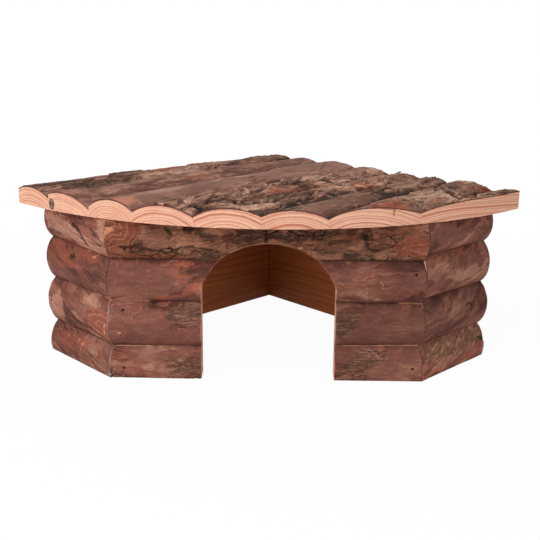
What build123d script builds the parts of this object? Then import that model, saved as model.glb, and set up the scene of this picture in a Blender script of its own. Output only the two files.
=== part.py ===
from build123d import *
from math import radians, sqrt, tan
import os

os.makedirs("parts", exist_ok=True)

# Sizes in millimetres.

# Roof: a quarter disc of bark-faced slats, with its right angle at the back corner
roof_radius = 300.0
slat_count = 8
# Left edge, crown and right edge of each slat above the flat underside, at its front and at its rear
slat_profiles_front = (
    (12.0, 16.5, 10.0),
    (14.0, 16.0, 6.0),
    (9.0, 16.5, 9.0),
    (8.5, 15.5, 7.0),
    (7.5, 16.0, 10.0),
    (10.0, 14.5, 6.0),
    (6.5, 14.5, 8.0),
    (8.5, 14.8, 17.0),
)
slat_profiles_rear = (
    (10.0, 13.0, 9.5),
    (9.5, 13.8, 10.5),
    (10.5, 15.3, 11.5),
    (11.5, 14.8, 11.0),
    (11.0, 14.2, 10.5),
    (10.5, 15.0, 10.5),
    (10.5, 15.8, 10.0),
    (10.0, 14.5, 15.5),
)
# The slats taper, so each seam strays from an even pitch: at the rear edge, and one radius forward
seam_stray_rear = (-5.5, -6.0, 7.5, 11.0, 14.5, 4.5, 14.5)
seam_stray_front = (5.5, 12.5, 13.0, 20.5, 24.5, 27.5, 21.0)
# Each crown is a little fuller halfway along its slat
slat_swell = 0.5
# Strip sawn off the outer edges of the first and the last slat
edge_trim = 1.0

# Plates of bark that stand up on the slats
thick_bark = 2.2
middle_bark = 1.6
thin_bark = 1.2
# How far above the underside a plate is rooted
plate_root = 3.0
# Slat, rise and outline of each plate: points as ratios to the radius, forward from the rear edge,
# and to the slat's width, from its left seam
plate_ratios = (
    (1, middle_bark, ((0.05, 0.50), (0.12, 0.40), (0.20, 0.55), (0.22, 0.85), (0.15, 0.96), (0.07, 0.94))),
    (1, thin_bark, ((0.30, 0.60), (0.34, 0.30), (0.42, 0.35), (0.45, 0.70), (0.36, 0.85))),
    (1, thin_bark, ((0.58, 0.55), (0.62, 0.25), (0.72, 0.30), (0.76, 0.70), (0.66, 0.85))),
    (2, thin_bark, ((0.20, 0.70), (0.22, 0.30), (0.30, 0.20), (0.40, 0.30), (0.42, 0.60), (0.32, 0.85))),
    (3, thin_bark, ((0.06, 0.50), (0.10, 0.20), (0.22, 0.15), (0.30, 0.40), (0.26, 0.70), (0.14, 0.80))),
    (4, thin_bark, ((0.02, 0.35), (0.12, 0.20), (0.22, 0.40), (0.20, 0.70), (0.08, 0.75))),
    (4, middle_bark, ((0.26, 0.50), (0.28, 0.28), (0.32, 0.37), (0.34, 0.56), (0.33, 0.66))),
    (4, thick_bark, ((0.30, 0.06), (0.36, 0.10), (0.44, 0.56), (0.42, 0.64), (0.39, 0.65), (0.355, 0.53))),
    (4, middle_bark, ((0.33, 0.85), (0.35, 0.73), (0.385, 0.79), (0.36, 0.94))),
    (4, thin_bark, ((0.40, 0.82), (0.43, 0.68), (0.49, 0.62), (0.55, 0.77), (0.54, 0.89), (0.48, 0.95))),
    (4, thick_bark, ((0.43, 0.08), (0.53, 0.25), (0.58, 0.39), (0.59, 0.67), (0.57, 0.73), (0.53, 0.66), (0.50, 0.57))),
    (4, middle_bark, ((0.60, 0.50), (0.61, 0.34), (0.70, 0.60), (0.68, 0.78), (0.62, 0.74))),
    (4, thick_bark, ((0.64, 0.14), (0.73, 0.33), (0.78, 0.40), (0.81, 0.62), (0.80, 0.77), (0.76, 0.77), (0.71, 0.60))),
    (4, middle_bark, ((0.79, 0.36), (0.84, 0.12), (0.88, 0.40), (0.85, 0.68), (0.83, 0.62))),
    (5, thick_bark, ((0.03, 0.72), (0.08, 0.62), (0.16, 0.72), (0.17, 0.90), (0.12, 0.96), (0.03, 0.93))),
    (5, middle_bark, ((0.08, 0.30), (0.14, 0.16), (0.21, 0.33), (0.21, 0.60), (0.12, 0.56))),
    (5, middle_bark, ((0.22, 0.80), (0.24, 0.58), (0.31, 0.45), (0.34, 0.66), (0.31, 0.95), (0.26, 0.94))),
    (5, thick_bark, ((0.33, 0.92), (0.36, 0.72), (0.41, 0.66), (0.45, 0.78), (0.43, 0.94), (0.38, 0.97))),
    (5, middle_bark, ((0.43, 0.60), (0.45, 0.50), (0.52, 0.62), (0.57, 0.84), (0.55, 0.95), (0.49, 0.90), (0.47, 0.76))),
    (5, thick_bark, ((0.52, 0.30), (0.56, 0.05), (0.64, 0.10), (0.71, 0.30), (0.70, 0.55), (0.63, 0.66), (0.58, 0.57))),
    (5, thin_bark, ((0.58, 0.83), (0.63, 0.78), (0.71, 0.66), (0.76, 0.60), (0.73, 0.92), (0.65, 0.96))),
    (6, middle_bark, ((0.01, 0.55), (0.02, 0.22), (0.09, 0.30), (0.10, 0.66))),
    (6, thick_bark, ((0.11, 0.70), (0.12, 0.35), (0.21, 0.14), (0.26, 0.30), (0.24, 0.76), (0.19, 0.90))),
    (6, middle_bark, ((0.25, 0.86), (0.29, 0.72), (0.34, 0.66), (0.38, 0.82), (0.36, 0.94), (0.28, 0.96))),
    (6, thin_bark, ((0.30, 0.54), (0.33, 0.30), (0.42, 0.16), (0.48, 0.42), (0.43, 0.54), (0.37, 0.62))),
    (6, thin_bark, ((0.47, 0.60), (0.52, 0.30), (0.58, 0.24), (0.64, 0.50), (0.58, 0.84), (0.50, 0.86))),
    (7, thick_bark, ((0.01, 0.62), (0.03, 0.25), (0.12, 0.28), (0.16, 0.55), (0.16, 0.80), (0.13, 0.93), (0.04, 0.92))),
    (7, middle_bark, ((0.17, 0.34), (0.18, 0.10), (0.24, 0.08), (0.29, 0.45), (0.22, 0.56))),
    (7, thin_bark, ((0.21, 0.86), (0.23, 0.66), (0.30, 0.56), (0.38, 0.76), (0.32, 0.95))),
    (7, thin_bark, ((0.32, 0.42), (0.34, 0.14), (0.44, 0.18), (0.48, 0.46), (0.40, 0.62))),
    (8, thin_bark, ((0.02, 0.50), (0.04, 0.22), (0.14, 0.30), (0.15, 0.70), (0.05, 0.82))),
    (8, middle_bark, ((0.17, 0.50), (0.18, 0.16), (0.25, 0.12), (0.26, 0.52))),
)

# How far the roof stands out over the walls
side_overhang = 14.0
front_overhang = 24.0
back_overhang = 14.0

# Log walls: half-round slabs lying on each other, flat side in
wall_height = 133.0
log_thickness = 18.0
log_edge = 10.0
# Heights of the rows at the left end of the front wall; the row under the top one takes the rest
foot_row = 25.5
lower_row = 39.0
top_row = 33.3
# Strips ripped off the bottom log and the top log to make the wall level
foot_trim = 12.0
top_trim = 4.0
# Logs taper, so each seam, lowest first, is off that height at the left and right end of its wall
front_strays = ((0.0, 4.0), (0.0, 1.0), (0.0, 0.8))
left_strays = ((1.0, -0.5), (1.5, 0.5), (3.3, -0.2))
right_strays = ((4.5, 2.5), (4.0, 2.0), (5.3, 3.3))
# Crown of each log below the thickest one, at its left end, middle and right end, bottom log first
front_thinning = ((0.6, 0.3, 0.8), (0.2, 0.5, 0.0), (0.9, 0.4, 0.6), (0.4, 0.0, 0.7))
left_thinning = ((0.5, 0.2, 0.6), (0.0, 0.4, 0.3), (0.8, 0.5, 0.4), (0.3, 0.6, 0.2))
right_thinning = ((0.7, 0.3, 0.5), (0.4, 0.0, 0.2), (0.5, 0.8, 0.6), (0.0, 0.3, 0.5))

# Doorway sawn through the front logs
door_width = 109.0
door_shift = 1.7
arch_rise = 38.0
# How far the arch rises into the top log
arch_bite = 15.8

# Planed boards that close the two back walls
board_thickness = 18.0

# Posts that fill the two inner front corners
post_width = 20.0
post_depth = 14.0

# Brads, each with a narrow bar for a head
brad_width = 1.2
brad_head = 2.2
brad_head_height = 0.8
brad_length = 25.0
brad_sink = 1.5
brad_fit = 0.03
front_brad_inset = 12.0
side_brad_inset = 15.0
first_slat_brads = 3
corner_brad_count = 3
edge_brad_margin = 24.0

# Heights from the floor
seam_heights = (foot_row, foot_row + lower_row, wall_height - top_row)
door_height = wall_height - top_row + arch_bite

# Plan, from the back corner: x runs along the right edge of the roof and y back along the left edge
side_crown = roof_radius - side_overhang
front_crown = roof_radius - front_overhang
side_front = front_crown * sqrt(2) - side_crown
side_inner = side_crown - log_thickness
board_inner = back_overhang + board_thickness
board_middle = back_overhang + board_thickness / 2
front_width = (side_crown - side_front) * sqrt(2)
side_length = side_front - back_overhang
mitre = tan(radians(22.5))

front_wall = Location((side_front, -side_crown, 0), (0, 0, 45))
left_wall = Location((back_overhang, -side_crown, 0))
right_wall = Location((side_crown, -side_front, 0), (0, 0, 90))


def slab_face(plane, low, high, low_edge, crown, high_edge):
    back = Line((low, 0), (high, 0))
    high_side = Line((high, 0), (high, high_edge))
    bark = ThreePointArc((high, high_edge), ((low + high) / 2, crown), (low, low_edge))
    low_side = Line((low, low_edge), (low, 0))
    return plane * make_face([back, high_side, bark, low_side])


def prism(points, height):
    return extrude(make_face(Polyline(*points, close=True)), height, dir=(0, 0, 1))


# A brad stands with the top of its head at z = 0 and its point below. Its hole has the same outline
# and a fit, with the head's slot running on out through the bark; the head sits on the hole's ledge
def brad_outline(slot_top, fit):
    head = brad_head / 2 + fit
    shank = brad_width / 2 + fit
    point = -brad_length - fit
    points = (
        (-head, slot_top),
        (-head, -brad_head_height),
        (-shank, -brad_head_height),
        (-shank, point),
        (shank, point),
        (shank, -brad_head_height),
        (head, -brad_head_height),
        (head, slot_top),
    )
    return extrude(Plane.XZ * make_face(Polyline(*points, close=True)), shank, both=True)


brad_solid = brad_outline(0.0, 0.0)
brad_cut = brad_outline(3 * brad_sink + 4, brad_fit)


def wall_brad(wall, x, z, depth):
    return wall * Location(Plane((x, depth, z), x_dir=(1, 0, 0), z_dir=(0, -1, 0)))


def drilled(solid, spots):
    box = solid.bounding_box()
    cuts = []
    for spot in spots:
        cut = spot * brad_cut
        near = cut.bounding_box()
        apart_x = near.min.X > box.max.X or near.max.X < box.min.X
        apart_y = near.min.Y > box.max.Y or near.max.Y < box.min.Y
        apart_z = near.min.Z > box.max.Z or near.max.Z < box.min.Z
        if not (apart_x or apart_y or apart_z):
            cuts.append(cut)
    if cuts:
        solid = solid - cuts
    return solid


# Wall frame: x along the wall seen from outside, y inward from the plane of the crowns, z up
def wall_prism(length, left_cut, right_cut):
    out = -4.0
    points = (
        (left_cut * out, out),
        (length - right_cut * out, out),
        (length - right_cut * log_thickness, log_thickness),
        (left_cut * log_thickness, log_thickness),
    )
    return prism(points, wall_height)


def row_limits(strays, share):
    levels = [-foot_trim]
    for height, (start, end) in zip(seam_heights, strays):
        levels.append(height + start + (end - start) * share)
    levels.append(wall_height + top_trim)
    return levels


def wall_logs(length, strays, thinning, room):
    logs = []
    for row in range(len(strays) + 1):
        sections = []
        for station, thin in zip((0.0, 0.5, 1.0), thinning[row]):
            levels = row_limits(strays, station)
            origin = (length * station, log_thickness, 0)
            if station == 0.0:
                origin = (-log_thickness, log_thickness, 0)
            if station == 1.0:
                origin = (length + log_thickness, log_thickness, 0)
            plane = Plane(origin, x_dir=(0, 0, 1), z_dir=(1, 0, 0))
            crown = log_thickness - thin
            sections.append(slab_face(plane, levels[row], levels[row + 1], log_edge, crown, log_edge))
        logs.append(loft(sections, ruled=True) & room)
    return logs


def row_middles(strays, share):
    levels = row_limits(strays, share)
    levels[0] = 0.0
    levels[-1] = wall_height
    return [(low + high) / 2 for low, high in zip(levels, levels[1:])]


front_logs = wall_logs(front_width, front_strays, front_thinning, wall_prism(front_width, mitre, mitre))
left_logs = wall_logs(side_length, left_strays, left_thinning, wall_prism(side_length, 0.0, mitre))
right_logs = wall_logs(side_length, right_strays, right_thinning, wall_prism(side_length, mitre, 0.0))

# Doorway: straight sides up to the spring of the arch
door_middle = front_width / 2 + door_shift
door_left = door_middle - door_width / 2
door_right = door_middle + door_width / 2
door_spring = door_height - arch_rise
door_outline = [
    Line((door_left, -1), (door_right, -1)),
    Line((door_right, -1), (door_right, door_spring)),
    ThreePointArc((door_right, door_spring), (door_middle, door_height), (door_left, door_spring)),
    Line((door_left, door_spring), (door_left, -1)),
]
door_cut = extrude(Plane.XZ * make_face(door_outline), 2 * log_thickness, both=True)
front_logs = [log - door_cut for log in front_logs]

# Roof slats, each lofted from the rear edge to one radius forward and sawn to the quarter disc
slat_pitch = roof_radius / slat_count
seam_rear = [-edge_trim]
seam_front = [-edge_trim]
for index in range(1, slat_count):
    stray = (index - 1) % len(seam_stray_rear)
    seam_rear.append(index * slat_pitch + seam_stray_rear[stray])
    seam_front.append(index * slat_pitch + seam_stray_front[stray])
seam_rear.append(roof_radius + edge_trim)
seam_front.append(roof_radius + edge_trim)

disc_outline = [
    Line((0, 0), (roof_radius, 0)),
    CenterArc((0, 0), roof_radius, -90, 90),
    Line((0, -roof_radius), (0, 0)),
]
roof_room = Pos(0, 0, wall_height) * extrude(make_face(disc_outline), 2 * log_thickness)


def seam_at(index, forward):
    return seam_rear[index] + (seam_front[index] - seam_rear[index]) * forward / roof_radius


def slat_profile(index, share):
    rear = slat_profiles_rear[index % len(slat_profiles_rear)]
    front = slat_profiles_front[index % len(slat_profiles_front)]
    return [back + (fore - back) * share for back, fore in zip(rear, front)]


def slat_loft(index, rise):
    sections = []
    for station, swell in ((0.0, 0.0), (0.5, slat_swell), (1.0, 0.0)):
        forward = roof_radius * station
        low = seam_at(index, forward)
        high = seam_at(index + 1, forward)
        left_edge, crown, right_edge = [height + rise for height in slat_profile(index, station)]
        plane = Plane((0, -forward, wall_height), x_dir=(1, 0, 0), z_dir=(0, -1, 0))
        sections.append(slab_face(plane, low, high, left_edge, crown + swell, right_edge))
    return loft(sections, ruled=True) & roof_room


def plate_column(index, outline):
    points = []
    for share, across in outline:
        forward = roof_radius * share
        low = seam_at(index, forward)
        points.append((low + (seam_at(index + 1, forward) - low) * across, -forward))
    return Pos(0, 0, wall_height + plate_root) * prism(points, 2 * log_thickness)


slats = []
for index in range(slat_count):
    slat = slat_loft(index, 0.0)
    for number, rise, outline in plate_ratios:
        if number == index + 1:
            slat = slat + (slat_loft(index, rise) & plate_column(index, outline))
    slats.append(slat)

# Back boards: the left one runs through the corner and the right one butts against it
left_board = prism(
    (
        (back_overhang, -back_overhang),
        (board_inner, -back_overhang),
        (board_inner, -side_inner),
        (back_overhang, -side_inner),
    ),
    wall_height,
)
right_board = prism(
    (
        (board_inner, -back_overhang),
        (side_inner, -back_overhang),
        (side_inner, -board_inner),
        (board_inner, -board_inner),
    ),
    wall_height,
)

# Corner posts in the frame of the front wall: flat on its logs, bevelled against the side logs
inner_left = mitre * log_thickness
inner_right = front_width - inner_left
left_post = front_wall * prism(
    (
        (inner_left, log_thickness),
        (inner_left + post_width, log_thickness),
        (inner_left + post_width, log_thickness + post_depth),
        (inner_left - post_depth, log_thickness + post_depth),
    ),
    wall_height,
)
right_post = front_wall * prism(
    (
        (inner_right, log_thickness),
        (inner_right + post_depth, log_thickness + post_depth),
        (inner_right - post_width, log_thickness + post_depth),
        (inner_right - post_width, log_thickness),
    ),
    wall_height,
)

# Brads: through each log into a post or a board end
wall_brad_depth = 2 * brad_sink
front_spots = []
for x, share in ((front_brad_inset, 0.0), (front_width - front_brad_inset, 1.0)):
    for z in row_middles(front_strays, share):
        front_spots.append(wall_brad(front_wall, x, z, wall_brad_depth))
left_spots = []
for x, share in ((board_thickness / 2, 0.0), (side_length - side_brad_inset, 1.0)):
    for z in row_middles(left_strays, share):
        left_spots.append(wall_brad(left_wall, x, z, wall_brad_depth))
right_spots = []
for x, share in ((side_brad_inset, 0.0), (side_length - board_thickness / 2, 1.0)):
    for z in row_middles(right_strays, share):
        right_spots.append(wall_brad(right_wall, x, z, wall_brad_depth))

# Through the left board into the end of the right board
corner_spots = []
for index in range(corner_brad_count):
    z = wall_height * (index + 0.5) / corner_brad_count
    plane = Plane((back_overhang + brad_sink, -board_middle, z), x_dir=(0, 1, 0), z_dir=(-1, 0, 0))
    corner_spots.append(Location(plane))

# Down through the slats: the first lies along the left board, the last has no wall under it
roof_back_spots = []
roof_front_spots = []
front_middle = (front_crown - log_thickness / 2) * sqrt(2)
side_middle = side_crown - log_thickness / 2
first_top = wall_height + slat_profiles_rear[0][1] - 2 * brad_sink
first_run = side_inner - board_inner - 2 * edge_brad_margin
for index in range(first_slat_brads):
    y = -(board_inner + edge_brad_margin + first_run * index / (first_slat_brads - 1))
    roof_back_spots.append(Location((board_middle, y, first_top)))
for index in range(1, slat_count - 1):
    rear_x = (seam_at(index, board_middle) + seam_at(index + 1, board_middle)) / 2
    rear_top = wall_height + slat_profile(index, board_middle / roof_radius)[1] - brad_sink
    roof_back_spots.append(Location((rear_x, -board_middle, rear_top)))
    lean = (seam_front[index] + seam_front[index + 1] - seam_rear[index] - seam_rear[index + 1]) / 2
    rear_middle = (seam_rear[index] + seam_rear[index + 1]) / 2
    forward = (front_middle - rear_middle) / (1 + lean / roof_radius)
    forward = min(forward, side_middle)
    front_x = (seam_at(index, forward) + seam_at(index + 1, forward)) / 2
    front_top = wall_height + slat_profile(index, forward / roof_radius)[1] - brad_sink
    roof_front_spots.append(Location((front_x, -forward, front_top)))

roof_spots = roof_back_spots + roof_front_spots
all_spots = front_spots + left_spots + right_spots + corner_spots + roof_spots

# The part's own frame: the front looks along -Y and the roof is centred over the origin
part_frame = Location((0, roof_radius / 2, 0), (0, 0, -45))


def save(name, shape):
    export_step(part_frame * shape, f"parts/{name}.step")


def save_group(name, spots):
    group = Compound([part_frame * spot * brad_solid for spot in spots])
    export_step(group, f"parts/{name}.step")


for index, slat in enumerate(slats):
    save(f"roof_slat_{index + 1}", drilled(slat, roof_spots))

# Rows are counted from the top; the doorway parts the lower front logs in two
row_count = len(front_logs)
for row, log in enumerate(reversed(front_logs)):
    pieces = [drilled(front_wall * piece, all_spots) for piece in log.solids()]
    if len(pieces) == 1:
        save(f"front_log_{row + 1}", pieces[0])
    else:
        pieces = sorted(pieces, key=lambda piece: piece.center().X)
        save(f"front_left_log_{row + 1}", pieces[0])
        save(f"front_right_log_{row + 1}", pieces[-1])
for row, log in enumerate(reversed(left_logs)):
    save(f"left_log_{row + 1}", drilled(left_wall * log, all_spots))
for row, log in enumerate(reversed(right_logs)):
    save(f"right_log_{row + 1}", drilled(right_wall * log, all_spots))

save("back_left_board", drilled(left_board, all_spots))
save("back_right_board", drilled(right_board, all_spots))
save("left_corner_post", drilled(left_post, all_spots))
save("right_corner_post", drilled(right_post, all_spots))

save_group("front_brads", front_spots)
save_group("left_brads", left_spots)
save_group("right_brads", right_spots)
save_group("corner_brads", corner_spots)
save_group("roof_back_brads", roof_back_spots)
save_group("roof_front_brads", roof_front_spots)
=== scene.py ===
import bpy
import math
import numpy as np
from mathutils import Matrix, Vector

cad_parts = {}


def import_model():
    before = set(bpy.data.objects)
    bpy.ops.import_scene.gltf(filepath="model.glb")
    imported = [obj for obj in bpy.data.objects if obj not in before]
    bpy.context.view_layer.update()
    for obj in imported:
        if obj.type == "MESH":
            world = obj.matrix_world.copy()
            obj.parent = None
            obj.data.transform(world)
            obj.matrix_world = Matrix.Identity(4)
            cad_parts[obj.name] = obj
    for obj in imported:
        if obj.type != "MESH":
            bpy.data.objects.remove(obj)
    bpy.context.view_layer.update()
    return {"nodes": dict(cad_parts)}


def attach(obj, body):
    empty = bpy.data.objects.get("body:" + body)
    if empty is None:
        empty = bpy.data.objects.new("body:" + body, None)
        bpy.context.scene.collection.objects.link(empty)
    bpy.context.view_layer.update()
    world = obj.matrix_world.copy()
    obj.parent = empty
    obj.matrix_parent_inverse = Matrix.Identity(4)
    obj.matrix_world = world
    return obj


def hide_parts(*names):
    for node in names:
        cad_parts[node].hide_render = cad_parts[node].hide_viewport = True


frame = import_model()
print("frame loaded:", len(frame["nodes"]), "nodes")

mm = 0.001
root2 = math.sqrt(2)


# node wiring: sums on a Wire add Math nodes, put() adds any other node
class Wire:
    def __init__(self, tree, socket=None):
        self.tree = tree
        self.socket = socket

    def put(self, kind, sockets=None, out=0, stops=None, **settings):
        node = self.tree.nodes.new(kind)
        for name, value in settings.items():
            setattr(node, name, value)
        if stops:
            ramp = node.color_ramp.elements
            while len(ramp) < len(stops):
                ramp.new(0.5)
            for element, (place, color) in zip(ramp, stops):
                element.position = place
                element.color = color
        for key, value in (sockets or {}).items():
            if isinstance(value, Wire):
                self.tree.links.new(value.socket, node.inputs[key])
            else:
                node.inputs[key].default_value = value
        return Wire(self.tree, node.outputs[out] if len(node.outputs) else None)

    def tap(self, out):
        return Wire(self.tree, self.socket.node.outputs[out])

    def calc(self, operation, *values):
        return self.put("ShaderNodeMath", dict(enumerate(values)), operation=operation)

    def __add__(self, other):
        return self.calc("ADD", self, other)

    def __sub__(self, other):
        return self.calc("SUBTRACT", self, other)

    def __rsub__(self, other):
        return self.calc("SUBTRACT", other, self)

    def __mul__(self, other):
        return self.calc("MULTIPLY", self, other)

    def __truediv__(self, other):
        return self.calc("DIVIDE", self, other)

    __radd__ = __add__
    __rmul__ = __mul__

    def most(self, other):
        return self.calc("MAXIMUM", self, other)

    def size(self):
        return self.calc("ABSOLUTE", self)

    def root(self):
        return self.calc("SQRT", self)

    def fraction(self):
        return self.calc("FRACT", self)

    def band(self, low, high):
        limits = {"Value": self, "From Min": low, "From Max": high}
        return self.put("ShaderNodeMapRange", limits, interpolation_type="SMOOTHSTEP")

    def stretch(self, *sizes):
        return self.put("ShaderNodeVectorMath", {0: self, 1: sizes}, operation="MULTIPLY")

    def shift(self, other):
        return self.put("ShaderNodeVectorMath", {0: self, 1: other}, operation="ADD")

    def noise(self, detail=3.0, rough=0.55, twist=0.0, out=0):
        grain = {"Vector": self, "Scale": 1.0, "Detail": detail}
        grain |= {"Roughness": rough, "Distortion": twist}
        return self.put("ShaderNodeTexNoise", grain, out=out)

    def cells(self, feature, out=0):
        return self.put("ShaderNodeTexVoronoi", {"Vector": self, "Scale": 1.0}, out=out, feature=feature)

    def attribute(self, title, out=2):
        return self.put("ShaderNodeAttribute", out=out, attribute_name=title)

    def blend(self, factor, first, second, **settings):
        tones = {0: factor, 6: first, 7: second}
        return self.put("ShaderNodeMix", tones, out=2, data_type="RGBA", **settings)

    def mix(self, factor, other):
        return self.blend(factor, self, other)

    def stain(self, other):
        return self.blend(1.0, self, other, blend_type="MULTIPLY")

    def shade(self, amount):
        return self.stain(self.put("ShaderNodeCombineColor", {0: amount, 1: amount, 2: amount}))


def tint(red, green, blue):
    linear = []
    for value in (red, green, blue):
        share = value / 255
        linear.append(share / 12.92 if share <= 0.04045 else ((share + 0.055) / 1.055) ** 2.4)
    return (*linear, 1.0)


# fields that the relief and the colours share, so that lines and steps fall together

def drift(grain, spec):
    wander = grain.stretch(70, 110, 40).noise(3.0, 0.6, out=1).shift((-0.5, -0.5, -0.5))
    return grain.shift(wander.stretch(spec["wander"], spec["wander"] * 0.6, 0.0))


def fray(grain):
    return grain.stretch(130, 130, 70).noise(5.0, 0.7) - 0.5


def layers(warped, spec, step=(0.0, 0.0, 0.0)):
    place = warped.shift(step).stretch(1 / spec["flakeLong"], 1 / spec["flakeWide"], 25)
    return place.noise(3.0, 0.55, 0.4) * spec["levels"]


def cracks(grain, warped, split, spec):
    plate = warped.stretch(1 / spec["plateLong"], 1 / spec["plateWide"], 20)
    cracked = grain.stretch(22, 45, 30).noise(2.0, 0.5).band(*spec["patch"]).most(split)
    width = grain.stretch(90, 160, 30).noise(2.0) * spec["crackWide"] * 2 + 0.005
    wide = (1 - (plate.cells("DISTANCE_TO_EDGE") / width).band(0.15, 1.0)) * cracked
    chip = warped.stretch(2.6 / spec["plateLong"], 2.4 / spec["plateWide"], 30)
    thin = (1 - chip.cells("DISTANCE_TO_EDGE").band(0.01, 0.09)) * cracked * spec["chip"]
    return plate, cracked, wide, thin


def fissures(warped):
    ridge = warped.stretch(80, 330, 30).noise(4.0, 0.62) - 0.5
    return 1 - ridge.size().band(0.01, 0.08)


# bark relief: depths in metres of fissures, knots and dark grooves under painted shadow, and the clean line
# beside a sawn end

cuts = dict(fissure=0.0007, knotAndShadow=0.0012, sawWide=0.006, sawDeep=0.006, sawLeast=0.0002)


def reliefTree(name, spec):
    tree = bpy.data.node_groups.new(name, "GeometryNodeTree")
    tree.interface.new_socket("Geometry", in_out="INPUT", socket_type="NodeSocketGeometry")
    tree.interface.new_socket("Geometry", in_out="OUTPUT", socket_type="NodeSocketGeometry")
    tree.is_modifier = True
    skin = Wire(tree).put("NodeGroupInput")

    def read(title, kind="FLOAT"):
        return skin.put("GeometryNodeInputNamedAttribute", {"Name": title}, data_type=kind)

    grain = read("grainPos", "FLOAT_VECTOR")
    outward = read("outward", "FLOAT_VECTOR")
    ragged = fray(grain)

    def patch(kind, rough=7):
        return (read(kind) + ragged * rough).band(-1.0, 1.0)

    smooth = patch("smooth")
    warped = drift(grain, spec)
    plate, cracked, wide, thin = cracks(grain, warped, patch("split"), spec)
    chance = plate.put("ShaderNodeSeparateXYZ", {0: plate.cells("F1", 1)})

    # thin layers that end in small steps
    level = layers(warped, spec)
    part = level.fraction()
    whole = level - part
    tone = (whole * 0.618 + chance * 2.7).fraction()
    calm = 1 - smooth * 0.8
    lump = grain.stretch(14, 30, 20).noise(2.0, 0.5) - 0.5
    fine = grain.stretch(180, 420, 60).noise(5.0, 0.68) - 0.5
    roll = 1 - read("edgeDist").band(0.0, spec["rollWide"])
    height = (
        lump * spec["lump"]
        + (whole + part.band(0.0, 0.08) - spec["levels"] * 0.5) * spec["flakeStep"] * calm
        + (chance - 0.5) * spec["plateLift"] * cracked * calm
        - (wide + thin * 0.45) * spec["crackDeep"] * calm
        + fine * spec["fine"] * calm
        - fissures(warped) * patch("olive") * cuts["fissure"]
        - patch("knotAndShadow", 3) * cuts["knotAndShadow"]
        - roll * spec["rollDeep"]
    )
    # the saw leaves a clean line at the ends
    clean = read("endDist").band(0.0, cuts["sawWide"]) * cuts["sawDeep"]
    height = height.most(0.0 - clean - cuts["sawLeast"])
    offset = outward.put("ShaderNodeVectorMath", {0: outward, 3: height}, operation="SCALE")
    moved = skin.put("GeometryNodeSetPosition", {"Geometry": skin, "Offset": offset})
    for title, value in (("tone", tone), ("rise", height * 300), ("ragged", ragged)):
        moved = moved.put(
            "GeometryNodeStoreNamedAttribute",
            {"Geometry": moved, "Name": title, "Value": value},
            data_type="FLOAT",
            domain="POINT",
        )
    moved.put("NodeGroupOutput", {"Geometry": moved})
    return tree


smoothRelief = dict(
    wander=0.010, plateLong=0.080, plateWide=0.012, patch=(0.58, 0.72), crackWide=0.05,
    crackDeep=0.0010, chip=0.3, flakeLong=0.080, flakeWide=0.016, levels=6.0, flakeStep=0.00018,
    plateLift=0.0003, lump=0.0016, fine=0.0005, rollWide=0.005, rollDeep=0.0013,
)
roughRelief = dict(
    wander=0.012, plateLong=0.060, plateWide=0.010, patch=(0.50, 0.66), crackWide=0.07,
    crackDeep=0.0016, chip=0.5, flakeLong=0.040, flakeWide=0.012, levels=8.0, flakeStep=0.00026,
    plateLift=0.0007, lump=0.0016, fine=0.0013, rollWide=0.0045, rollDeep=0.0026,
)
scaleRelief = dict(
    wander=0.012, plateLong=0.050, plateWide=0.018, patch=(0.62, 0.76), crackWide=0.04,
    crackDeep=0.0009, chip=0.3, flakeLong=0.046, flakeWide=0.022, levels=7.0, flakeStep=0.00020,
    plateLift=0.0004, lump=0.0014, fine=0.0004, rollWide=0.003, rollDeep=0.0008,
)
blockRelief = dict(
    wander=0.014, plateLong=0.018, plateWide=0.010, patch=(0.52, 0.66), crackWide=0.03,
    crackDeep=0.0014, chip=0.5, flakeLong=0.026, flakeWide=0.012, levels=8.0, flakeStep=0.00024,
    plateLift=0.0007, lump=0.0014, fine=0.0008, rollWide=0.003, rollDeep=0.0008,
)
reliefs = {
    "smooth": reliefTree("smoothBarkRelief", smoothRelief),
    "rough": reliefTree("roughBarkRelief", roughRelief),
    "scale": reliefTree("scalyBarkRelief", scaleRelief),
    "block": reliefTree("blockyBarkRelief", blockRelief),
}
print("relief trees made")


# finishes

def newLook(name):
    look = bpy.data.materials.new(name)
    look.use_nodes = True
    tree = look.node_tree
    tree.nodes.clear()
    return look, Wire(tree)


def closeLook(start, color, rough, bump, bumpDepth, gloss):
    dents = start.put("ShaderNodeBump", {"Height": bump, "Strength": 1.0, "Distance": bumpDepth})
    sockets = {"Base Color": color, "Roughness": rough, "Specular IOR Level": gloss, "Normal": dents}
    surface = start.put("ShaderNodeBsdfPrincipled", sockets)
    start.put("ShaderNodeOutputMaterial", {"Surface": surface})


def nearLine(turns, pitch):
    # distance to the nearest whole turn
    part = turns.fraction()
    return part.calc("MINIMUM", part, 1 - part) * pitch


# what an outline on the bark can mark: the depth inside it is kept on the mesh under this name
patchKinds = ("bare", "rusty", "olive", "smooth", "layered", "pale", "knotAndShadow", "split", "seamBare")
# where lines and worn edges fade, in metres, and the least slope that a line's width counts on
lineFade = (0.0002, 0.0007)
seamFade = (0.0002, 0.0008)
doorFade = (0.0001, 0.0007)
leastSlope = 60.0
# how far one torn layer stands behind the next, in millimetres
tornPitch = 4.6


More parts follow.
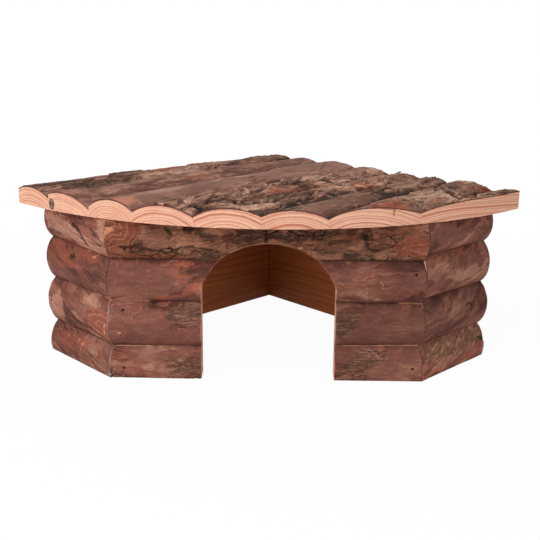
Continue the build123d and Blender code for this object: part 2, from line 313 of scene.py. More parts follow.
def barkLook(name, spec, relief):
    look, start = newLook(name)
    read = start.attribute
    grain = read("grainPos", 1)
    ragged = fray(grain)
    warped = drift(grain, relief)

    broad = grain.stretch(16, 34, 31).noise(3.0, 0.55, 0.3)
    tear = ragged * 9 + (grain.stretch(60, 90, 29).noise(3.0, 0.6) - 0.5) * 16

    def patch(kind, rough=1.0, blur=1.2):
        return (read(kind) + tear * rough).band(-blur, blur)

    rust = warped.stretch(26, 60, 37).noise(4.0, 0.6, 0.8)
    lichen = warped.stretch(30, 55, 43).noise(4.0, 0.6, 0.4)
    fibre = warped.stretch(60, 640, 47).noise(4.0, 0.65)
    speck = grain.stretch(420, 700, 53).noise(3.0, 0.7)
    mottle = warped.stretch(95, 170, 59).noise(4.0, 0.65)
    smooth = patch("smooth")

    level = broad + (read("tone") - 0.5) * spec["toneShare"]
    level = level + (fibre - 0.5) * 0.3 + (mottle - 0.5) * 0.45
    color = start.put("ShaderNodeValToRGB", {0: level}, stops=spec["tones"])
    color = color.mix(rust.band(spec["rustFrom"], spec["rustFrom"] + 0.12) * 0.7, spec["rust"])
    color = color.mix(patch("pale") * (fibre * 1.1 + 0.1), spec["pale"])
    color = color.mix(smooth * (1.15 - fibre * 0.6 - mottle * 0.5), spec["smooth"])
    rusted = rust.band(0.36, 0.62) * 0.7 + speck * 0.5 - 0.1
    color = color.mix(patch("rusty", 0.4, 0.9) * rusted, spec["rust"])
    # rough grey patches
    wild = lichen.band(spec["oliveFrom"], spec["oliveFrom"] + 0.06) * (1 - smooth)
    wild = wild.most(patch("olive"))
    color = color.mix(wild * (speck * 0.9 + 0.1), spec["olive"])
    color = color.shade(1 - (wild * 0.3 + spec["furrow"]) * fissures(warped) * (1 - smooth * 0.7))
    # painted shade: the bark is darker where it lies low and lighter where it stands up
    unevenAndHollowShade = fibre * 0.6 + speck * 0.9 + mottle * 0.5 + broad * 0.3 + read("rise") * 0.22 - 1.14
    color = color.shade(unevenAndHollowShade * spec["contrast"] + 1.0)

    # thin lines of even width where a layer ends
    nudge = 0.0003
    here = layers(warped, relief)
    along = layers(warped, relief, (nudge, 0.0, 0.0)) - here
    across = layers(warped, relief, (0.0, nudge, 0.0)) - here
    slope = (along * along + across * across).root() / nudge
    near = nearLine(here, 1.0) / slope.most(leastSlope)
    shown = grain.stretch(24, 50, 61).noise(2.0).band(spec["lineFrom"], spec["lineFrom"] + 0.12)
    line = (1 - near.band(*lineFade)) * shown * (1 - smooth * spec["lineCalm"]) * spec["lineShare"]
    color = color.mix(line, start.blend(broad.band(0.45, 0.6), spec["line"], spec["paleLine"]))

    # torn layers, one behind another
    depth = read("layered") + ragged * 5 + (warped.stretch(45, 60, 23).noise(2.0) - 0.5) * 10
    torn = depth.band(-0.4, 0.4)
    color = color.mix(torn * (speck * 0.5 + 0.4), spec["torn"])
    tornLine = (1 - nearLine(depth / tornPitch, tornPitch).band(0.1, 0.5)) * torn
    color = color.mix(tornLine * broad.band(0.30, 0.50) * 0.55, spec["paleLine"])

    # cracks, knots and seams, with painted shadow under plate rims, in brad pits and below overhanging
    # bark, and painted shade along the seams; then the worn edges beside seams and doorway
    wide, thin = cracks(grain, warped, patch("split", 0.8), relief)[2:]
    dark = (wide.most(thin) * (1 - smooth * 0.8)).most(read("crackAndShadow"))
    dark = dark.most(patch("knotAndShadow", 0.4) * (speck * 0.6 + 0.5))
    edge = read("edgeDist")
    # painted shade in the seams between logs and between slats
    seam = (1 - edge.band(seamFade[0], spec["seamShadeWide"])) * spec["seamShadeShare"]
    color = color.mix(dark.most(seam), spec["crackAndShadow"])
    worn = (1 - edge.band(*seamFade)) * patch("seamBare", 0.3)
    color = color.mix(worn * mottle.band(0.32, 0.56), spec["sap"])
    sill = (1 - read("doorDist").band(*doorFade)) * mottle.band(0.36, 0.62)
    color = color.mix(sill * 0.8, spec["bare"])
    # painted highlight along the rims of the bark plates
    color = color.mix(read("rim") * (speck * 0.8 + 0.2), spec["paleLine"])
    color = color.mix(patch("bare", 0.55, 0.6) * (fibre * 0.7 + speck * 0.7), spec["bare"])
    # the gain is partly the bark's own tone and partly painted light and shade
    color = color.stain(spec["wash"]).shade(read("toneAndLightGain"))
    bump = fibre * 0.7 + speck - wild * fissures(warped)
    closeLook(start, color, 0.86 - smooth * 0.1, bump, spec["bump"], 0.22)
    return look


# where on the ramp the tones lie, from the darkest to the palest bark
tonePlaces = (0.25, 0.42, 0.54, 0.66, 0.82)


def tones(*colors):
    return [(place, tint(*color)) for place, color in zip(tonePlaces, colors)]


# in each palette the crack colour also serves painted shadow and shade, and the seam width and share set
# the painted shade along seams
wallPalette = dict(
    tones=tones((84, 50, 43), (110, 67, 57), (127, 81, 68), (144, 97, 81), (162, 121, 102)),
    rust=tint(148, 82, 62), smooth=tint(122, 77, 67), pale=tint(173, 129, 110),
    olive=tint(142, 106, 86), line=tint(164, 94, 70), paleLine=tint(190, 146, 120),
    torn=tint(142, 78, 56), crackAndShadow=tint(48, 31, 26), bare=tint(212, 152, 114), sap=tint(218, 170, 138),
    toneShare=0.3, rustFrom=0.60, oliveFrom=0.64, lineFrom=0.42, lineShare=0.6, lineCalm=0.4,
    contrast=0.95, furrow=0.05, seamShadeWide=0.0006, seamShadeShare=0.2, bump=0.0005,
    wash=(0.98, 0.92, 0.90, 1.0),
)
lintelPalette = dict(
    tones=tones((78, 52, 40), (106, 71, 55), (128, 86, 67), (146, 101, 80), (164, 122, 100)),
    rust=tint(138, 74, 52), smooth=tint(124, 82, 66), pale=tint(158, 112, 90),
    olive=tint(108, 84, 66), line=tint(150, 88, 62), paleLine=tint(194, 144, 114),
    torn=tint(140, 74, 54), crackAndShadow=tint(36, 25, 20), bare=tint(222, 160, 120), sap=tint(222, 184, 154),
    toneShare=0.4, rustFrom=0.58, oliveFrom=0.60, lineFrom=0.48, lineShare=0.5, lineCalm=0.85,
    contrast=1.3, furrow=0.12, seamShadeWide=0.0010, seamShadeShare=0.5, bump=0.0006,
    wash=(0.98, 0.90, 0.86, 1.0),
)
roughPalette = dict(
    tones=tones((72, 50, 41), (114, 82, 68), (144, 108, 91), (166, 128, 109), (190, 156, 136)),
    rust=tint(150, 80, 54), smooth=tint(134, 96, 81), pale=tint(192, 162, 142),
    olive=tint(112, 88, 74), line=tint(160, 114, 92), paleLine=tint(196, 164, 142),
    torn=tint(140, 78, 56), crackAndShadow=tint(34, 25, 21), bare=tint(214, 172, 144), sap=tint(216, 178, 152),
    toneShare=0.5, rustFrom=0.62, oliveFrom=0.62, lineFrom=0.42, lineShare=0.5, lineCalm=0.85,
    contrast=1.9, furrow=0.26, seamShadeWide=0.0024, seamShadeShare=1.0, bump=0.0004,
    wash=(1.0, 0.91, 0.88, 1.0),
)
smoothPalette = dict(
    tones=tones((84, 56, 48), (116, 82, 70), (140, 103, 89), (158, 120, 104), (180, 146, 128)),
    rust=tint(142, 78, 58), smooth=tint(146, 108, 94), pale=tint(174, 142, 126),
    olive=tint(104, 80, 68), line=tint(138, 88, 72), paleLine=tint(180, 146, 128),
    torn=tint(140, 78, 56), crackAndShadow=tint(42, 30, 25), bare=tint(196, 136, 110), sap=tint(216, 178, 152),
    toneShare=0.3, rustFrom=0.60, oliveFrom=0.64, lineFrom=0.48, lineShare=0.4, lineCalm=0.85,
    contrast=1.4, furrow=0.08, seamShadeWide=0.0014, seamShadeShare=0.6, bump=0.0006,
    wash=(0.98, 0.90, 0.87, 1.0),
)
wallBark = barkLook("wallBark", wallPalette, scaleRelief)
lintelBark = barkLook("lintelBark", lintelPalette, blockRelief)
roofBarks = {
    "rough": barkLook("roughRoofBark", roughPalette, roughRelief),
    "smooth": barkLook("smoothRoofBark", smoothPalette, smoothRelief),
}


def sawnLook(name, spec):
    look, start = newLook(name)
    pith = start.attribute("pithPos", 1)
    gap = start.attribute("ringGap")
    parts = pith.put("ShaderNodeSeparateXYZ", {0: pith})
    across = parts.tap(1)
    up = parts.tap(2)
    reach = (across * across + up * up).root() + (pith.stretch(4, 80, 80).noise(3.0) - 0.5) * 0.0022
    # years of uneven growth
    growth = {"W": reach / gap * 0.55 + gap * 9000, "Scale": 1.0, "Detail": 1.0}
    turn = reach / gap + reach.put("ShaderNodeTexNoise", growth, noise_dimensions="1D") * 1.5
    part = turn.fraction()
    late = part.band(0.40, 0.88) * (1 - part.band(0.93, 1.0))
    fresh = 1 - part.band(0.0, 0.35)
    strength = ((turn - part) * 0.73).fraction() * 0.5 + 0.5
    fibre = pith.stretch(12, 1100, 1100).noise(3.0, 0.6)
    blotch = pith.stretch(8, 60, 60).noise(3.0, 0.5)
    color = start.blend(blotch.band(0.3, 0.7), spec["early"], spec["early2"])
    color = color.mix(fresh * strength * 0.6, spec["fresh"])
    color = color.mix(late * strength * spec["ringShare"], spec["late"])
    color = color.shade(fibre * 0.36 + 0.82)
    ragged = start.attribute("rimDepth") + (pith.stretch(300, 500, 500).noise(2.0) - 0.5) * 0.0009
    color = color.mix(1 - ragged.band(spec["rimDeep"], spec["rimDeep"] + 0.0005), spec["rim"])
    closeLook(start, color, 0.72, fibre, 0.00015, 0.25)
    return look


sawnEnds = sawnLook("sawnEnds", dict(
    early=tint(227, 175, 147), early2=tint(220, 162, 134), fresh=tint(242, 204, 176),
    late=tint(184, 108, 80), ringShare=1.0, rim=tint(86, 50, 40), rimDeep=0.0008,
))


def boardLook(name, angle, spec):
    look, start = newLook(name)
    place = start.put("ShaderNodeTexCoord", out="Object")
    turned = start.put("ShaderNodeMapping", {"Vector": place, "Rotation": angle})
    sway = turned.stretch(5, 30, 9).noise(2.0)
    heart = turned.stretch(2.6, 40, 24).shift((spec["seed"], 0, 0.4)).noise(2.0, 0.4, 0.6)
    part = (heart * spec["rings"] + sway * 2).fraction()
    late = part.band(0.45, 0.9) * (1 - part.band(0.91, 1.0))
    fibre = turned.stretch(22, 900, 900).noise(3.0, 0.6)
    color = start.blend(sway.band(0.3, 0.7), spec["early"], spec["early2"])
    color = color.mix(late * spec["ringShare"], spec["late"])
    color = color.shade(fibre * 0.3 + 0.85)
    # dark joint where the two boards meet inside, painted shade that deepens towards that inner corner, and
    # a painted warm bounce that darkens the inner faces
    spot = place.put("ShaderNodeSeparateXYZ", {0: place})
    side = spot.size()
    inside = 1 - (spot.tap(1) + side).band(*spec["innerFaces"])
    joint = (1 - side.band(*spec["jointFade"])) * spec["jointDark"]
    # painted shade that deepens towards the inner corner
    corner = (1 - side.band(0.0, spec["cornerShadeWide"])) * spec["paintedCornerShade"]
    # painted warm bounce light and shade on the inner faces
    color = color.mix(inside, color.stain(spec["inner"]))
    color = color.shade(1 - inside * (joint + corner))
    closeLook(start, color, 0.6, fibre, 0.0001, 0.35)
    return look


# innerFaces is where |x| + y passes from the boards' inner faces to the wood behind them
pineTones = dict(
    early=tint(202, 132, 78), early2=tint(192, 120, 66), late=tint(150, 80, 38), ringShare=0.6, rings=19,
    # painted warm bounce light and shade on the inner faces
    inner=(1.02, 0.82, 0.6, 1.0), innerFaces=(0.1050, 0.1060), jointFade=(0.0003, 0.0009),
    # painted shade towards the inner corner
    jointDark=0.28, cornerShadeWide=0.075, paintedCornerShade=0.36,
)
leftPine = boardLook("leftBoardPine", (0, 0, math.radians(-45)), dict(pineTones, seed=0.0))
rightPine = boardLook("rightBoardPine", (0, 0, math.radians(45)), dict(pineTones, seed=5.3))
postPine = boardLook("postPine", (0, math.radians(90), 0), dict(pineTones, seed=7.1))


def wireLook():
    look, start = newLook("bradWire")
    place = start.put("ShaderNodeTexCoord", out="Object")
    wear = place.stretch(900, 900, 900).noise(3.0)
    color = start.blend(wear.band(0.35, 0.65), tint(120, 116, 112), tint(70, 60, 54))
    sockets = {"Base Color": color, "Metallic": 0.9, "Roughness": wear * 0.3 + 0.3}
    surface = start.put("ShaderNodeBsdfPrincipled", sockets)
    start.put("ShaderNodeOutputMaterial", {"Surface": surface})
    return look


bradWire = wireLook()
print("finishes made")


# slabs: a grid is laid over the crown, gets its bark, and is extruded down to the sawn flat

gridStep = 0.75 * mm


def newGrid(name, longSide, wideSide):
    bpy.ops.object.select_all(action="DESELECT")
    bpy.ops.mesh.primitive_grid_add(
        x_subdivisions=max(4, round(longSide / gridStep)),
        y_subdivisions=max(4, round(wideSide / gridStep)),
        size=1.0,
    )
    skin, flat = made(name)
    return skin, flat[:, 0] + 0.5, flat[:, 1] + 0.5


def made(name):
    piece = bpy.context.object
    piece.name = name
    piece.data.name = name
    return piece, getCoords(piece.data)


def faceOut(merge=0.0):
    bpy.ops.object.mode_set(mode="EDIT")
    bpy.ops.mesh.select_all(action="SELECT")
    if merge:
        bpy.ops.mesh.remove_doubles(threshold=merge)
    bpy.ops.mesh.normals_make_consistent(inside=False)
    bpy.ops.object.mode_set(mode="OBJECT")


def getCoords(mesh):
    flat = np.empty(len(mesh.vertices) * 3)
    mesh.vertices.foreach_get("co", flat)
    return flat.reshape(-1, 3)


def setCoords(mesh, coords):
    mesh.vertices.foreach_set("co", coords.astype(np.float32).ravel())
    mesh.update()


def keep(mesh, name, values):
    values = np.asarray(values, np.float32)
    kind, field = ("FLOAT_VECTOR", "vector") if values.ndim == 2 else ("FLOAT", "value")
    layer = mesh.attributes.get(name) or mesh.attributes.new(name, kind, "POINT")
    layer.data.foreach_set(field, values.ravel())


def kept(mesh, name, wide=False):
    count = len(mesh.vertices)
    flat = np.empty(count * (3 if wide else 1), np.float32)
    mesh.attributes[name].data.foreach_get("vector" if wide else "value", flat)
    return flat.reshape(-1, 3).astype(float) if wide else flat.astype(float)


def circleThrough(width, left, crown, right):
    # centre of the circle through the two edges and the crown
    half = width / 2
    det = 2 * (half * (right - left) - width * (crown - left))
    midSquare = half ** 2 + crown ** 2 - left ** 2
    farSquare = width ** 2 + right ** 2 - left ** 2
    centre = ((right - left) * midSquare - (crown - left) * farSquare) / det
    drop = (half * farSquare - width * midSquare) / det
    return centre, drop


def crownHeight(place, width, left, crown, right):
    centre, drop = circleThrough(width, left, crown, right)
    radius = np.sqrt(centre ** 2 + (left - drop) ** 2)
    return drop + np.sqrt(np.maximum(radius ** 2 - (place - centre) ** 2, 0))


def insideDepth(outline, across, along):
    # distance to an outline, positive inside it
    depth = np.full(across.shape, 1e9)
    inside = np.zeros(across.shape, bool)
    for (x0, y0), (x1, y1) in zip(outline, outline[1:] + outline[:1]):
        runX, runY = x1 - x0, y1 - y0
        share = ((across - x0) * runX + (along - y0) * runY) / (runX ** 2 + runY ** 2)
        share = np.clip(share, 0, 1)
        depth = np.minimum(depth, np.hypot(across - x0 - share * runX, along - y0 - share * runY))
        crosses = (y0 > along) != (y1 > along)
        inside ^= crosses & (across < x0 + (along - y0) * runX / (runY or 1e-9))
    return np.where(inside, depth, -depth)


def smoothShare(values):
    values = np.clip(values, 0, 1)
    return values * values * (3 - 2 * values)


# plates, in millimetres: how ragged they are, their step, the curl of their rim, the painted shadow line
# under it and the painted highlight along it
plateRim = dict(
    frayed=6.0, stepFrom=0.35, stepWide=0.7, sink=0.3, curlWide=1.8, curlHigh=0.5, brightWide=0.8,
    underAt=0.6, underWide=0.9, underFrom=0.9, underSpan=1.1,
)
# pits where brads went in
pitShape = dict(radius=1.3, slope=0.5, deep=1.6)
# depth kept where no outline marks the bark
unmarked = -30.0


def standPlates(slab, tone, ragged):
    lift = np.zeros(len(tone))
    dark = np.zeros(len(tone))
    bright = np.zeros(len(tone))
    for number, (rise, outline) in enumerate(slab["plates"]):
        depth = insideDepth(outline, *slab["flat"]) + ragged * plateRim["frayed"]
        step = smoothShare((depth + plateRim["stepFrom"]) / plateRim["stepWide"])
        curl = np.exp(-(np.maximum(depth, 0) / plateRim["curlWide"]) ** 2) * plateRim["curlHigh"]
        lift = np.maximum(lift, (rise - plateRim["sink"] + curl) * step)
        # painted shadow under the rim of a raised plate
        shadowUnderRim = np.clip(1 - np.abs(depth + plateRim["underAt"]) / plateRim["underWide"], 0, 1)
        shadowUnderRim = shadowUnderRim * smoothShare(ragged * 5 + 0.6)
        tall = np.clip((rise - plateRim["underFrom"]) / plateRim["underSpan"], 0, 1)
        dark = np.maximum(dark * (1 - step), shadowUnderRim * tall)
        # painted highlight along the plate's rim
        pale = np.exp(-(depth / plateRim["brightWide"]) ** 2) * smoothShare(0.5 - ragged * 4)
        bright = bright * (1 - step) + step * pale
        # neighbours differ in tone
        tone = np.where(step > 0.5, (0.31 + number * 0.382) % 1 * 0.6 + tone * 0.4, tone)
    return lift, dark, bright, tone


def finishSlab(skin, slab):
    mesh = skin.data
    outward = np.array(slab["outward"])
    setCoords(mesh, slab["coords"])
    keep(mesh, "grainPos", slab["grain"])
    keep(mesh, "edgeDist", slab["edge"])
    keep(mesh, "endDist", slab["end"])
    keep(mesh, "doorDist", slab["door"])
    keep(mesh, "outward", np.tile(outward, (len(mesh.vertices), 1)))
    keep(mesh, "foot", slab["foot"])
    for kind in patchKinds:
        depth = np.full(len(mesh.vertices), unmarked)
        for outline in slab["patches"].get(kind, []):
            depth = np.maximum(depth, insideDepth(outline, *slab["flat"]))
        keep(mesh, kind, depth)
    keep(mesh, "toneAndLightGain", np.full(len(mesh.vertices), slab["toneAndLightGain"]))
    relief = skin.modifiers.new("bark", "NODES")
    relief.node_group = reliefs[slab["relief"]]
    bpy.context.view_layer.objects.active = skin
    bpy.ops.object.modifier_apply(modifier=relief.name)

    coords = getCoords(mesh)
    lift, dark, bright, tone = standPlates(slab, kept(mesh, "tone"), kept(mesh, "ragged"))
    coords += np.outer(lift * mm, outward)
    for pit in slab["pits"]:
        reach = np.hypot(slab["flat"][0] - pit[0], slab["flat"][1] - pit[1])
        share = np.clip((pitShape["radius"] - reach) / pitShape["slope"], 0, 1)
        coords -= np.outer(share * pitShape["deep"] * mm, outward)
        # painted shade in the brad pits
        dark = np.maximum(dark, share)
    setCoords(mesh, coords)
    # the painted shadow and shade and the painted rim highlight are kept on the mesh for the bark's colour
    for name, values in (("crackAndShadow", dark), ("tone", tone), ("rim", bright)):
        keep(mesh, name, values)
    relief = (coords - slab["coords"]) @ outward
    keep(mesh, "rimDepth", (slab["coords"] - slab["foot"]) @ outward)

    barkFaces = len(mesh.polygons)
    barkPoints = len(mesh.vertices)
    bpy.ops.object.mode_set(mode="EDIT")
    bpy.ops.mesh.select_mode(type="EDGE")
    bpy.ops.mesh.select_all(action="SELECT")
    bpy.ops.mesh.region_to_loop()
    bpy.ops.mesh.extrude_edges_move()
    bpy.ops.mesh.edge_face_add()
    bpy.ops.object.mode_set(mode="OBJECT")
    coords = getCoords(mesh)
    coords[barkPoints:] = kept(mesh, "foot", True)[barkPoints:]
    setCoords(mesh, coords)
    rim = kept(mesh, "rimDepth")
    rim[:barkPoints] = -relief
    keep(mesh, "rimDepth", rim)
    keep(mesh, "pithPos", slab["pith"](coords))
    keep(mesh, "ringGap", np.full(len(mesh.vertices), slab["ringGap"]))
    sawn = np.arange(len(mesh.polygons)) >= barkFaces
    mesh.materials.append(slab["look"])
    mesh.materials.append(sawnEnds)
    mesh.polygons.foreach_set("material_index", sawn.astype(np.int32))
    mesh.polygons.foreach_set("use_smooth", ~sawn)
    faceOut(0.02 * mm)
    for name in ("foot", "outward", "ragged", "endDist"):
        mesh.attributes.remove(mesh.attributes[name])
    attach(skin, "root")
    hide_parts(slab["node"])


# roof slats, in plan from the back corner: u forward along the left edge, v forward along the right

roof = {
    "radius": 300.0,
    "underside": 133.0,
    "seamRear": [-1.0, 32.0, 69.0, 120.0, 161.0, 202.0, 229.5, 277.0, 301.0],
    "seamFront": [-1.0, 43.0, 87.5, 125.5, 170.5, 212.0, 252.5, 283.5, 301.0],
    "swell": 0.5,
    "gridWide": 46.0,
    "grainWide": 1.15,
    "grainStep": 0.37,
    # left edge, crown and right edge at the front and at the rear
    "slats": [
        # each slat's gain is partly its own tone and partly painted light and shade
        dict(front=(12.0, 16.5, 10.0), rear=(10.0, 13.0, 9.5), relief="rough", ringGap=2.3, toneAndLightGain=1.06),
        dict(front=(14.0, 16.0, 6.0), rear=(9.5, 13.8, 10.5), relief="smooth", ringGap=2.0, toneAndLightGain=1.34),
        dict(front=(9.0, 16.5, 9.0), rear=(10.5, 15.3, 11.5), relief="smooth", ringGap=1.8, toneAndLightGain=1.12),
        dict(front=(8.5, 15.5, 7.0), rear=(11.5, 14.8, 11.0), relief="rough", ringGap=2.6, toneAndLightGain=1.28),
        dict(front=(7.5, 16.0, 10.0), rear=(11.0, 14.2, 10.5), relief="rough", ringGap=2.7, toneAndLightGain=1.36),
        dict(front=(10.0, 14.5, 6.0), rear=(10.5, 15.0, 10.5), relief="rough", ringGap=2.4, toneAndLightGain=0.88),
        dict(front=(6.5, 14.5, 8.0), rear=(10.5, 15.8, 10.0), relief="rough", ringGap=2.8, toneAndLightGain=1.2),
        dict(front=(8.5, 14.8, 17.0), rear=(10.0, 14.5, 15.5), relief="rough", ringGap=2.1, toneAndLightGain=1.1),
    ],
}
# bark plates: slat, rise, and outline in per cent forward of the rear edge and across the slat
barkPlates = [
    (1, 1.6, [(5, 50), (12, 40), (20, 55), (22, 85), (15, 96), (7, 94)]),
    (1, 1.2, [(30, 60), (34, 30), (42, 35), (45, 70), (36, 85)]),
    (1, 1.2, [(58, 55), (62, 25), (72, 30), (76, 70), (66, 85)]),
    (2, 1.2, [(20, 70), (22, 30), (30, 20), (40, 30), (42, 60), (32, 85)]),
    (3, 1.2, [(6, 50), (10, 20), (22, 15), (30, 40), (26, 70), (14, 80)]),
    (4, 1.2, [(2, 35), (12, 20), (22, 40), (20, 70), (8, 75)]),
    (4, 1.6, [(26, 50), (28, 28), (32, 37), (34, 56), (33, 66)]),
    (4, 2.2, [(30, 6), (36, 10), (44, 56), (42, 64), (39, 65), (35.5, 53)]),
    (4, 1.6, [(33, 85), (35, 73), (38.5, 79), (36, 94)]),
    (4, 1.2, [(40, 82), (43, 68), (49, 62), (55, 77), (54, 89), (48, 95)]),
    (4, 2.2, [(43, 8), (53, 25), (58, 39), (59, 67), (57, 73), (53, 66), (50, 57)]),
    (4, 1.6, [(60, 50), (61, 34), (70, 60), (68, 78), (62, 74)]),
    (4, 2.2, [(64, 14), (73, 33), (78, 40), (81, 62), (80, 77), (76, 77), (71, 60)]),
    (4, 1.6, [(79, 36), (84, 12), (88, 40), (85, 68), (83, 62)]),
    (5, 2.2, [(3, 72), (8, 62), (16, 72), (17, 90), (12, 96), (3, 93)]),
    (5, 1.6, [(8, 30), (14, 16), (21, 33), (21, 60), (12, 56)]),
    (5, 1.6, [(22, 80), (24, 58), (31, 45), (34, 66), (31, 95), (26, 94)]),
    (5, 2.2, [(33, 92), (36, 72), (41, 66), (45, 78), (43, 94), (38, 97)]),
    (5, 1.6, [(43, 60), (45, 50), (52, 62), (57, 84), (55, 95), (49, 90), (47, 76)]),
    (5, 2.2, [(52, 30), (56, 5), (64, 10), (71, 30), (70, 55), (63, 66), (58, 57)]),
    (5, 1.2, [(58, 83), (63, 78), (71, 66), (76, 60), (73, 92), (65, 96)]),
    (6, 1.6, [(1, 55), (2, 22), (9, 30), (10, 66)]),
    (6, 2.2, [(11, 70), (12, 35), (21, 14), (26, 30), (24, 76), (19, 90)]),
    (6, 1.6, [(25, 86), (29, 72), (34, 66), (38, 82), (36, 94), (28, 96)]),
    (6, 1.2, [(30, 54), (33, 30), (42, 16), (48, 42), (43, 54), (37, 62)]),
    (7, 2.2, [(1, 62), (3, 25), (12, 28), (16, 55), (16, 80), (13, 93), (4, 92)]),
    (7, 1.6, [(17, 34), (18, 10), (24, 8), (29, 45), (22, 56)]),
    (7, 1.2, [(21, 86), (23, 66), (30, 56), (38, 76), (32, 95)]),
    (7, 1.2, [(32, 42), (34, 14), (44, 18), (48, 46), (40, 62)]),
    (8, 1.2, [(2, 50), (4, 22), (14, 30), (15, 70), (5, 82)]),
    (8, 1.6, [(17, 50), (18, 16), (25, 12), (26, 52)]),
]
# places where the bark has come off, is rusty, split, smooth, pale or grey, with outlines of the same kind
barkPatches = [
    (3, "bare", [(86, 62), (89, 54), (96, 60), (95, 82), (88, 84)]),
    (5, "rusty", [(20, 66), (23, 56), (33, 70), (30, 92), (22, 92)]),
    (5, "bare", [(29, 66), (27, 80), (26, 86), (30, 76)]),
    (4, "rusty", [(34, 85), (30, 78), (26, 84), (29, 98), (38, 98)]),
    (5, "olive", [(46, 73), (44, 40), (60, 30), (66, 70), (63, 92), (50, 91)]),
    (6, "smooth", [(70, 55), (46, 26), (33, 70), (36, 90), (62, 95), (72, 90)]),
    (7, "smooth", [(72, 10), (50, 10), (42, 30), (52, 55), (68, 75)]),
    (7, "rusty", [(58, 55), (48, 40), (42, 42), (36, 66), (34, 98), (50, 110)]),
    (7, "rusty", [(5, 80), (-4, 66), (-4, 105), (8, 105)]),
    (7, "pale", [(0, 20), (0, 62), (3, 66), (5, 50)]),
    (3, "smooth", [(40, 20), (10, 30), (0, 50), (2, 95), (30, 95), (42, 70)]),
    (3, "smooth", [(90, 50), (68, 36), (44, 60), (48, 82), (70, 90), (96, 96)]),
    (3, "pale", [(48, 33), (38, 20), (36, 34), (43, 58)]),
    (4, "pale", [(4, 50), (0, 50), (0, 74), (3, 76)]),
    (4, "split", [(98, 20), (80, -5), (66, 5), (72, 55), (85, 61), (98, 60)]),
    (4, "split", [(70, 20), (48, -5), (40, 30), (48, 65), (58, 60), (70, 61)]),
    (4, "split", [(90, 70), (75, 72), (60, 80), (55, 105), (75, 105)]),
    (5, "split", [(78, 5), (60, 0), (50, 20), (60, 66), (68, 75)]),
    (1, "olive", [(92, 62), (80, 56), (68, 78), (70, 105), (92, 105)]),
    (1, "rusty", [(60, 40), (40, 30), (20, 50), (36, 60), (58, 62)]),
    (2, "olive", [(92, 5), (73, 0), (66, 20), (73, 40), (92, 36)]),
    (1, "pale", [(53, 66), (47, 50), (40, 70), (44, 98), (56, 98)]),
    (2, "rusty", [(57, 54), (52, 56), (46, 66), (48, 80), (57, 68)]),
    (8, "bare", [(30, 16), (23.5, 44), (16, 68), (10, 80), (9, 120), (36, 120), (36, 16)]),
    # the dark outlines on slats 5, 6 and 7 are painted shadow below overhanging bark edges
    (5, "knotAndShadow", [(14, 88), (30, 86), (50, 83), (73, 86), (76, 110), (14, 110)]),
    (6, "knotAndShadow", [(33, 58), (25, 74), (20, 86), (13, 80), (12, 92), (20, 102), (28, 92), (34, 72)]),
    (7, "knotAndShadow", [(16.5, 58), (16.5, 85), (14, 95), (5, 95), (5, 100), (15, 102), (18, 88), (17.6, 60)]),
    (7, "pale", [(37, 40), (16, 50), (18, 74), (32, 78)]),
    (4, "pale", [(50, 42), (39, 38), (29, 50), (21, 53), (21, 64), (30, 62), (40, 50), (50, 53)]),
    (8, "pale", [(18, 30), (11, 20), (9, 70), (16, 80)]),
]


def planPoint(u, v, z):
    half = roof["radius"] / 2
    return np.stack([(v - u) / root2, half - (u + v) / root2, z + 0 * u], axis=1) * mm


def planSpot(u, v, z=0.0):
    return planPoint(np.array([u]), np.array([v]), np.array([z]))[0]


def planBack(coords):
    half = roof["radius"] / 2
    x = coords[:, 0] / mm
    y = half - coords[:, 1] / mm
    return (y - x) / root2, (y + x) / root2


